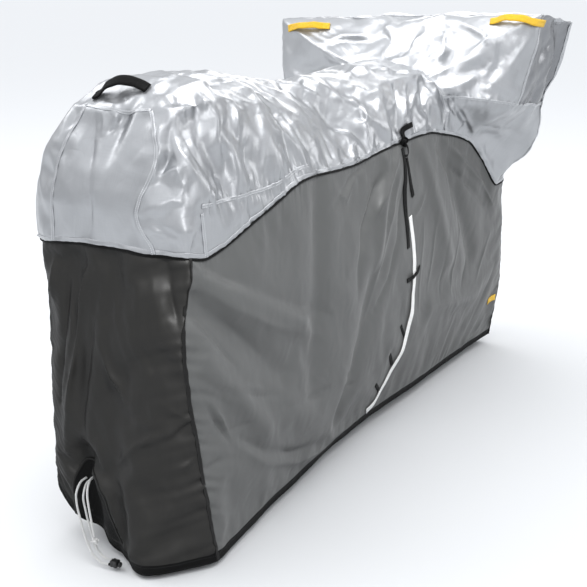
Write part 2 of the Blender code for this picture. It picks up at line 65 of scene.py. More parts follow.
# lines of places from the rear middle round the right side to the front, in mm: cells to the next
# line, then a place at each level
rightLines = (
    ("rear_mid", 3, (-926, 6, 12), (-955, 15, 260), (-957, 20, 520), (-954, 34, 715), (-957, 25, 790),
     (-935, 28, 870), (-886, 18, 985)),
    ("rear_flank", 3, (-978, -95, 8), (-960, -110, 260), (-958, -115, 520), (-935, -125, 709),
     (-942, -95, 790), (-910, -117, 890), (-876, -80, 988)),
    ("rear_corner", 2, (-845, -200, 10), (-900, -200, 260), (-942, -196, 520), (-905, -188, 702),
     (-905, -178, 790), (-885, -165, 870), (-845, -120, 990)),
    ("hem_tip", 5, (-775, -190, 10), (-820, -204, 260), (-845, -206, 520), (-850, -189, 692),
     (-868, -190, 800), (-815, -172, 900), (-785, -135, 995)),
    ("haunch", 5, (-630, -172, 15), (-650, -206, 260), (-655, -209, 520), (-650, -200, 752),
     (-650, -193, 800), (-645, -170, 900), (-640, -128, 980)),
    ("hip", 5, (-420, -150, 22), (-440, -203, 260), (-450, -208, 520), (-450, -197, 799),
     (-450, -190, 825), (-450, -165, 890), (-450, -125, 946)),
    ("saddle_dip", 6, (-180, -130, 30), (-200, -192, 260), (-220, -200, 520), (-230, -185, 795),
     (-230, -178, 815), (-230, -158, 848), (-230, -122, 885)),
    ("tie_line", 5, (50, -120, 32), (50, -178, 260), (40, -190, 520), (30, -176, 815), (30, -170, 845),
     (30, -155, 900), (30, -118, 955)),
    ("top_tube", 4, (280, -120, 30), (280, -170, 260), (260, -184, 520), (240, -171, 822),
     (240, -167, 850), (240, -153, 910), (240, -112, 972)),
    ("hood_foot", 5, (450, -116, 28), (450, -166, 260), (430, -180, 520), (390, -170, 803),
     (385, -168, 850), (375, -160, 910), (360, -115, 965)),
    ("hood_rear", 2, (570, -113, 28), (580, -162, 260), (570, -176, 500), (530, -181, 768),
     (533, -230, 810), (538, -323, 884), (584, -379, 1141)),
    ("hood_mid", 2, (690, -111, 27), (700, -159, 260), (695, -172, 470), (645, -184, 695),
     (660, -235, 760), (670, -322, 872), (690, -388, 1128)),
    ("hood_front", 3, (800, -109, 26), (820, -156, 260), (815, -168, 440), (750, -197, 603),
     (812, -275, 715), (803, -320, 861), (793, -394, 1113)),
    ("front_corner", 3, (948, -117, 30), (948, -146, 260), (930, -149, 440), (880, -164, 602),
     (885, -190, 715), (885, -205, 860), (850, -250, 1095)),
    ("front_mid", 3, (945, 0, 20), (965, 0, 260), (955, 0, 440), (938, 0, 600), (930, 0, 715),
     (905, 0, 860), (845, 0, 1100)),
)
# the left side mirrors the right one, but for these lines
leftChanges = {
    "hood_front": {"seam": (720, 196, 603), "band": (720, 270, 720), "crease": (710, 360, 865),
                  "edge": (680, 420, 1105)},
    "hood_mid": {"band": (590, 250, 765), "crease": (570, 380, 880), "edge": (560, 420, 1112)},
    "hood_rear": {"seam": (490, 181, 770), "band": (465, 250, 810), "crease": (415, 392, 900),
                 "edge": (435, 415, 1117)},
    "hood_foot": {"edge": (330, 115, 965)},
    "hem_tip": {"foot": (-790, 205, 60), "belly": (-810, 214, 270), "waist": (-810, 212, 520),
               "seam": (-815, 213, 705), "edge": (-790, 125, 1012)},
    "rear_corner": {"foot": (-895, 207, 122), "belly": (-890, 212, 280), "waist": (-890, 206, 500),
                   "seam": (-895, 214, 698), "band": (-890, 231, 760), "crease": (-875, 205, 875),
                   "edge": (-855, 132, 985)},
    "rear_flank": {"foot": (-930, 108, 60), "belly": (-945, 120, 270), "waist": (-945, 125, 520),
                  "seam": (-945, 135, 708), "band": (-945, 135, 785), "crease": (-925, 130, 870),
                  "edge": (-878, 85, 988)},
}
ridgeHeights = {"rear_corner": 1000, "hem_tip": 1043, "haunch": 1043, "hip": 1012, "saddle_dip": 995,
                "tie_line": 1000, "top_tube": 1010, "hood_foot": 1003, "hood_rear": 1132,
                "hood_mid": 1128, "hood_front": 1105}
# soft troughs and ridges: half width in mm, height in tenths of a mm (minus for a trough), and the
# two ends in mm
mainFolds = (
    # rear face and rear black cloth
    (20, -140, -885, -20, 975, -945, -5, 900),
    (22, -60, -900, 40, 960, -960, 40, 740),
    (28, -120, -950, 75, 680, -950, 95, 200),
    (26, -100, -955, -20, 690, -960, 0, 80),
    (26, 100, -945, -90, 690, -965, -60, 50),
    # hem's opening
    (30, -300, -945, 85, 230, -945, 75, 30),
    (24, 140, -950, 20, 170, -950, -10, 20),
    # rear face and rear black cloth
    (22, 80, -900, -110, 950, -945, -110, 720),
    # over the saddle
    (34, -160, -800, -80, 1010, -790, -190, 860),
    (28, 120, -730, -80, 1020, -720, -200, 830),
    (30, 120, -560, -70, 1015, -580, -200, 830),
    (28, -100, -480, -60, 1005, -500, -195, 840),
    # from the ridge down to the grey
    (26, -120, -300, -40, 985, -120, -160, 850),
    (24, 120, -200, -20, 1000, 0, -160, 850),
    (26, 100, 100, 0, 1005, 120, -165, 840),
    # hood
    (30, -120, 420, 330, 1060, 440, 80, 1040),
    (34, 140, 430, 300, 1000, 470, 0, 1080),
    (30, 160, 470, -50, 1040, 540, -300, 920),
    (28, -120, 480, -120, 1110, 520, -200, 960),
    # under the hood
    (30, -80, 480, -190, 850, 700, -230, 720),
    # grey, rear half
    (30, 110, -880, -200, 665, -500, -205, 470),
    (32, -120, -900, -200, 600, -580, -205, 360),
    (30, 100, -880, -200, 480, -660, -200, 260),
    (36, -110, -400, -205, 780, -440, -190, 300),
    (26, 120, -20, -195, 780, -100, -190, 520),
    (34, -100, -100, -190, 500, -250, -170, 140),
    (32, 100, 210, -185, 780, 420, -175, 420),
    (34, -120, 360, -180, 780, 620, -170, 400),
    (30, 80, 300, -170, 300, 700, -155, 240),
    # left side
    (40, -120, -700, 205, 700, -600, 190, 100),
    (38, -120, -300, 200, 740, -380, 180, 140),
    (36, -100, 150, 185, 780, 80, 170, 120),
    (36, -100, 500, 175, 700, 600, 150, 120),
    # front
    (34, -100, 940, 50, 560, 960, 60, 60),
)


def curveThrough(knots, values, at):
    # monotone cubic, so that nothing bulges past its own rows
    knots = np.asarray(knots, float)
    values = np.asarray(values, float)
    step = np.diff(knots)[:, None]
    slope = np.diff(values, axis=0) / step
    inner = np.zeros_like(values)
    before, after = slope[:-1], slope[1:]
    same = before * after > 0
    total = np.where(same, before + after, 1.0)
    inner[1:-1] = np.where(same, 2 * before * after / total, 0.0)
    inner[0], inner[-1] = slope[0], slope[-1]
    at = np.asarray(at, float)
    seat = np.clip(np.searchsorted(knots, at) - 1, 0, len(knots) - 2)
    width = step[seat]
    t = ((at - knots[seat]) / width[:, 0])[:, None]
    return ((2 * t**3 - 3 * t**2 + 1) * values[seat] + (t**3 - 2 * t**2 + t) * width * inner[seat]
            + (3 * t**2 - 2 * t**3) * values[seat + 1] + (t**3 - t**2) * width * inner[seat + 1])


def closedLines():
    rows = [(name + "_R", cells, levels) for name, cells, *levels in rightLines]
    for place in range(len(rightLines) - 2, 0, -1):
        name, _, *levels = rightLines[place]
        changed = leftChanges.get(name, {})
        left = [changed.get(level, (x, -y, z)) for level, (x, y, z) in zip(levelNames, levels)]
        rows.append((name + "_L", rightLines[place - 1][1], left))
    return rows


def columnPoints(levels):
    # from the levels of one column to its fine rows, hem band and piping included
    levels = np.array(levels)
    along = lengthsAlong(levels)
    mark = dict(zip(levelNames, along))
    at = list(np.linspace(0, cover["hemBand"], cover["rows"]["hem"] + 1))
    start = cover["hemBand"]
    for high in levelNames[1:]:
        stop = mark[high] - (cover["piping"] if high == "seam" else 0)
        at += list(np.linspace(start, stop, cover["rows"][high] + 1)[1:])
        if high == "seam":
            at.append(mark[high])
        start = mark[high]
    return curveThrough(along, levels, at), at


def rowOf(level):
    # the row of a column that lies on a level
    rows = sum(cover["rows"][name] for name in ("hem",) + levelNames[1:levelNames.index(level) + 1])
    return rows + (1 if levelNames.index(level) >= levelNames.index("seam") else 0)


def ringGrid():
    # every fine column of the wall that goes round the cover, its line, and its flat lengths
    rows = closedLines()
    points = np.array([levels for _, _, levels in rows]) / 1000
    wrap = 2
    around = np.concatenate([points[-wrap:], points, points[:wrap + 1]])
    spans = [np.linalg.norm(np.diff(around[:, levelNames.index(level)], axis=0), axis=1)
             for level in ("waist", "edge")]
    knots = np.concatenate([[0], np.cumsum(sum(spans))])
    around = around.reshape(len(around), -1)
    columns, heights, owner, line = [], [], [], []
    for i, (name, cells, _) in enumerate(rows):
        count = cells * cover["columnSplit"]
        start, end = knots[i + wrap], knots[i + wrap + 1]
        at = start + (end - start) * np.arange(count) / count
        for levels in curveThrough(knots, around, at).reshape(count, len(levelNames), 3):
            column, height = columnPoints(levels)
            columns.append(column)
            heights.append(height)
            owner.append(name)
        line += list(at / 2)
    return np.array(columns), np.array(heights), owner, np.array(line)


def topGrid(grid, owner):
    # rows of points across the top; they run from the wall's own curve at either end
    # to a crowned line in between
    total, split = len(grid), cover["columnSplit"]
    first, last = owner.index("rear_corner_R"), owner.index("hood_front_R")
    across = 2 * first
    knots = [owner.index(name + "_R") for name in ridgeHeights]
    ridge = curveThrough(knots, np.array(list(ridgeHeights.values()))[:, None] / 1000,
                         range(first, last + 1))[:, 0]
    share = np.linspace(0, 1, across + 1)
    lines = []
    for column in range(first, last + 1):
        right, left = grid[column, -1], grid[total - column, -1]
        line = right + (left - right) * share[:, None]
        rise = ridge[column - first] - (right[2] + left[2]) / 2
        line[:, 2] += rise * (1 - np.abs(2 * share - 1) ** cover["topCrown"])
        lines.append(line)
    lines = np.array(lines)
    rear = np.array([grid[(first - j) % total, -1] for j in range(across + 1)])
    front = np.array([grid[last + j, -1] for j in range(across + 1)])
    for end, curve, way in ((0, rear, 1), (len(lines) - 1, front, -1)):
        inner = lines[end + way * split].copy()
        for k in range(split):
            t = k / split
            row = curve * (1 - t) + inner * t
            for j, wall in ((0, lines[end + way * k, 0]), (-1, lines[end + way * k, -1])):
                near = np.clip(1 - np.abs(share - share[j]) * 3, 0, 1)[:, None]
                row += near * (wall - row[j])
            lines[end + way * k] = row
    return first, last, lines


def foldPush(points, normals, folds):
    moved = points.copy()
    for width, height, *places in folds:
        start, end = np.array(places).reshape(2, 3) / 1000
        run = end - start
        share = np.clip((points - start) @ run / (run @ run), 0, 1)
        away = np.linalg.norm(points - (start + share[:, None] * run), axis=1)
        moved += normals * (height / 10000 * np.exp(-(away / (width / 1000)) ** 2))[:, None]
    return moved


def normalsOf(points, quads):
    a, b, c, d = (points[quads[:, k]] for k in range(4))
    face = np.cross(c - a, d - b)
    total = np.zeros_like(points)
    for k in range(4):
        np.add.at(total, quads[:, k], face)
    return unit(total)


def pieceOfCell(line, row):
    # (a stretch of the left side starts at its front end, so it is named after the line behind it)
    side = "left" if line.endswith("_L") else "right"
    order = [entry[0] for entry in rightLines]
    base = line[:-2]
    if side == "left" or base == "front_mid":
        base = order[order.index(base) - 1]
    if row < cover["rows"]["hem"]:
        return "hem_band"
    if row == rowOf("seam") - 1:
        return "seam_piping"
    if row < rowOf("seam"):
        if base in ("rear_mid", "rear_flank"):
            return "rear_panel_black"
        return "front_panel_black" if base == "front_corner" else "side_panel_grey_" + side
    if base == "rear_mid":
        return "silver_rear_face"
    if base in ("hem_tip", "haunch") and row < rowOf("band"):
        return "silver_gusset_" + side
    if base in ("hood_foot", "hood_rear", "hood_mid"):
        if row < rowOf("crease"):
            return "hood_under_" + side
        return "hood_rear_face" if base == "hood_foot" else "hood_end_" + side
    if base in ("hood_front", "front_corner"):
        return "hood_top_front"
    return "silver_saddle_top"


def buildShell():
    grid, heights, owner, line = ringGrid()
    total, high = grid.shape[:2]
    points = list(grid.reshape(-1, 3))
    quads, labels, cut = [], [], []
    names = {}
    around = line[-1] + line[1]
    for column in range(total):
        here, after = column * high, (column + 1) % total * high
        for row in range(high - 1):
            key = (owner[column], row)
            if key not in names:
                names[key] = pieceOfCell(*key)
            quads.append((here + row, after + row, after + row + 1, here + row + 1))
            labels.append(names[key])
            ahead = around if column == total - 1 else line[column + 1]
            far = heights[(column + 1) % total]
            cut.append(((line[column], heights[column][row]), (ahead, far[row]),
                        (ahead, far[row + 1]), (line[column], heights[column][row + 1])))
    first, last, top = topGrid(grid, owner)
    count, across = top.shape[0] - 1, top.shape[1] - 1
    seat = np.zeros((count + 1, across + 1), int)
    topCut = np.zeros((count + 1, across + 1, 2))
    for i in range(count + 1):
        over = lengthsAlong(top[i])
        for j in range(across + 1):
            topCut[i, j] = line[first + i], heights[first + i][-1] + over[j]
            if j in (0, across) or i in (0, count):
                column = {0: first + i, across: total - first - i}.get(
                    j, first - j if i == 0 else last + j)
                seat[i, j] = column % total * high + high - 1
            else:
                seat[i, j] = len(points)
                points.append(top[i, j])
    for i in range(count):
        name = "silver_saddle_top"
        if first + i >= owner.index("hood_rear_R"):
            name = "hood_top_front"
        elif first + i >= owner.index("hood_foot_R"):
            name = "hood_rear_face"
        for j in range(across):
            quads.append((seat[i, j], seat[i + 1, j], seat[i + 1, j + 1], seat[i, j + 1]))
            labels.append(name)
            cut.append((topCut[i, j], topCut[i + 1, j], topCut[i + 1, j + 1], topCut[i, j + 1]))
    points, quads = np.array(points), np.array(quads)
    points = foldPush(points, normalsOf(points, quads), mainFolds)
    return {"points": points, "quads": quads, "labels": np.array(labels), "cut": np.array(cut),
            "owner": owner, "high": high, "total": total, "seat": seat, "first": first, "line": line,
            "heights": heights}


drape = {
    "frames": 13, "substeps": 3,
    "mass": .01, "tension": 150, "shear": 8, "bending": 30, "air": 4, "gravity": .2, "pinForce": 1.0,
    "seamHold": .75, "hemHold": .95, "seed": 5,
    "coarseKept": .35, "coarseRounds": 60,   # share of the wide swing that stays after settling
    "smoothRounds": 1,
}
# each kind of cloth: how much longer it is cut than the way it spans, the most it may move,
# and the uneven start that its folds grow from: height, wave length, and a slower direction
clothKinds = {
    "rear": {"slack": .008, "cap": .010, "rise": .0010, "wave": .12, "along": (.2, 0, 1), "stretch": .4},
    "silver": {"slack": .028, "cap": .016, "rise": .0012, "wave": .085, "along": (.4, 0, .8),
               "stretch": .45},
    "hood": {"slack": .030, "cap": .018, "rise": .0018, "wave": .16, "along": (0, .5, .7), "stretch": .5},
    "grey": {"slack": .007, "cap": .010, "rise": .0010, "wave": .20, "along": (.6, 0, -.8), "stretch": .45},
    "black": {"slack": .016, "cap": .012, "rise": .0018, "wave": .12, "along": (0, 0, 1), "stretch": .22},
}


def clothKind(label):
    if label == "silver_rear_face":
        return "rear"
    if label.startswith("hood"):
        return "hood"
    if "silver" in label:
        return "silver"
    return "grey" if "grey" in label else "black"


def unevenStart(points, kind, seed):
    # a sum of plane waves, drawn out along one direction
    make = np.random.RandomState(seed)
    along = np.array(kind["along"]) / np.linalg.norm(kind["along"])
    total = np.zeros(len(points))
    count = 36
    for _ in range(count):
        way = make.normal(size=3)
        way /= np.linalg.norm(way)
        way -= along * (way @ along) * (1 - kind["stretch"])
        length = kind["wave"] * make.uniform(.6, 1.7)
        total += np.cos(points @ way * 2 * math.pi / length + make.uniform(0, 2 * math.pi))
    return total * kind["rise"] * math.sqrt(2 / count)


def kindShares(points, quads, names, code):
    # how far each point belongs to each kind of cloth
    kindNames = list(clothKinds)
    kindOf = np.array([kindNames.index(clothKind(name)) for name in names])[code]
    share = np.zeros((len(points), len(kindNames)))
    for corner in quads.T:
        np.add.at(share, (corner, kindOf), 1)
    return share / share.sum(axis=1)[:, None]


def edgesOf(quads):
    pairs = np.concatenate([quads[:, [k, (k + 1) % 4]] for k in range(4)])
    return np.unique(np.sort(pairs, axis=1), axis=0)


def blur(values, edges, rounds, share=.5):
    # each point moves towards the mean of its neighbours
    size = len(values)
    ends = np.concatenate([edges[:, 0], edges[:, 1]])
    others = np.concatenate([edges[:, 1], edges[:, 0]])
    count = np.bincount(ends, minlength=size)[:, None]
    values = values.copy()
    for _ in range(rounds):
        total = np.stack([np.bincount(ends, weights=axis[others], minlength=size)
                          for axis in values.T], axis=1)
        values += share * (total / count - values)
    return values


def settle(shell):
    # the cloth is a little longer than the way it has to span, so it buckles between its seams
    points, quads, labels = shell["points"], shell["quads"], shell["labels"]
    names, code = np.unique(labels, return_inverse=True)
    share = kindShares(points, quads, names, code)
    touch = np.zeros((len(points), len(names)), bool)
    for corner in quads.T:
        touch[corner, code] = True
    normals = normalsOf(points, quads)
    uneven = sum(share[:, k] * unevenStart(points, clothKinds[name], drape["seed"] + k)
                 for k, name in enumerate(clothKinds))
    slack, cap = (share @ np.array([kind[what] for kind in clothKinds.values()])
                  for what in ("slack", "cap"))
    seam = touch.sum(axis=1) > 1
    hem = touch[:, [list(names).index("hem_band"), list(names).index("seam_piping")]].any(axis=1)
    hold = np.where(hem, drape["hemHold"], np.where(seam, drape["seamHold"], 0))
    uneven[hem | seam] *= .4
    mesh = bpy.data.meshes.new("clothTrial")
    mesh.from_pydata((points + normals * uneven[:, None]).tolist(), [], quads.tolist())
    mesh.update()
    obj = objectOf("clothTrial", mesh)
    most = slack.max()
    cloth = obj.modifiers.new("cloth", "CLOTH")
    for name, weights in (("hold", hold), ("slack", 1 - slack / most)):
        group = obj.vertex_groups.new(name=name)
        weights = np.round(weights, 2)
        for weight in np.unique(weights):
            group.add(np.nonzero(weights == weight)[0].tolist(), float(weight), "REPLACE")
    use = cloth.settings
    use.quality = drape["substeps"]
    use.mass = drape["mass"]
    use.tension_stiffness = use.compression_stiffness = drape["tension"]
    use.shear_stiffness = drape["shear"]
    use.bending_stiffness = drape["bending"]
    use.air_damping = drape["air"]
    use.vertex_group_mass = "hold"
    use.pin_stiffness = drape["pinForce"]
    use.vertex_group_shrink = "slack"
    use.shrink_min, use.shrink_max = -float(most), 0.0
    use.effector_weights.gravity = drape["gravity"]
    cloth.collision_settings.use_collision = False
    cloth.point_cache.frame_start, cloth.point_cache.frame_end = 1, drape["frames"]
    scene = bpy.context.scene
    for step in range(1, drape["frames"] + 1):
        scene.frame_set(step)
    fresh = obj.evaluated_get(bpy.context.evaluated_depsgraph_get())
    moved = valuesOf(fresh.data.vertices, "co", 3)
    scene.frame_set(1)
    bpy.data.objects.remove(obj, do_unlink=True)
    step = moved.reshape(-1, 3) - points
    edges = edgesOf(quads)
    step = step - (1 - drape["coarseKept"]) * blur(step, edges, drape["coarseRounds"])
    step = blur(step, edges, drape["smoothRounds"])
    size = np.linalg.norm(step, axis=1)
    step *= np.minimum(1, cap / np.maximum(size, 1e-9))[:, None]
    print("cloth settled, mean move", round(float(size.mean()) * 1000, 1), "mm, most",
          round(float(size.max()) * 1000, 1))
    return points + step


def objectOf(name, data):
    obj = bpy.data.objects.new(name, data)
    bpy.context.scene.collection.objects.link(obj)
    return obj


def valuesOf(rows, what, wide, kind=float):
    # one value of every row of a mesh
    values = np.zeros(len(rows) * wide, kind)
    rows.foreach_get(what, values)
    return values


def meshFrom(name, points, faces, uv=None):
    mesh = bpy.data.meshes.new(name)
    mesh.from_pydata(np.asarray(points).tolist(), [], [list(map(int, face)) for face in faces])
    mesh.update()
    if uv is not None:
        layer = mesh.uv_layers.new(name="cut")
        corners = valuesOf(mesh.loops, "vertex_index", 1, int)
        layer.data.foreach_set("uv", np.asarray(uv)[corners].ravel())
    obj = objectOf(name, mesh)
    for face in mesh.polygons:
        face.use_smooth = True
    return obj


def finishModifiers(obj):
    # the evaluated mesh takes the place of the modifiers
    fresh = bpy.data.meshes.new_from_object(
        obj.evaluated_get(bpy.context.evaluated_depsgraph_get()))
    obj.modifiers.clear()
    obj.data = fresh
    return obj


def keep(obj, slotName, mat, *nodes):
    # a finished piece: its material, what it rides on and the solids that it stands for
    obj.data.materials.clear()
    obj.data.materials.append(mat)
    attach(obj, "root")
    if nodes:
        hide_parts(*nodes)
    return obj


def world(point):
    # a place or places given above the floor, in the frame of the model
    return np.array(point, float) - (0, 0, cover["restHeight"])


def unit(rows):
    return rows / np.linalg.norm(rows, axis=1)[:, None]


def headings(path, closed=False):
    # the way that a path runs at each of its points
    return unit(np.roll(path, -1, axis=0) - np.roll(path, 1, axis=0) if closed
                else np.gradient(path, axis=0))


def lengthsAlong(path):
    # how far along a path each of its points lies
    return np.concatenate([[0], np.cumsum(np.linalg.norm(np.diff(path, axis=0), axis=1))])


def evened(rows, rounds, closed=False):
    # each row moves towards the mean of the rows before and after it
    rows = rows.copy()
    for _ in range(rounds):
        if closed:
            rows = (np.roll(rows, 1, axis=0) + rows * 2 + np.roll(rows, -1, axis=0)) / 4
        else:
            rows[1:-1] = (rows[:-2] + rows[1:-1] * 2 + rows[2:]) / 4
    return rows


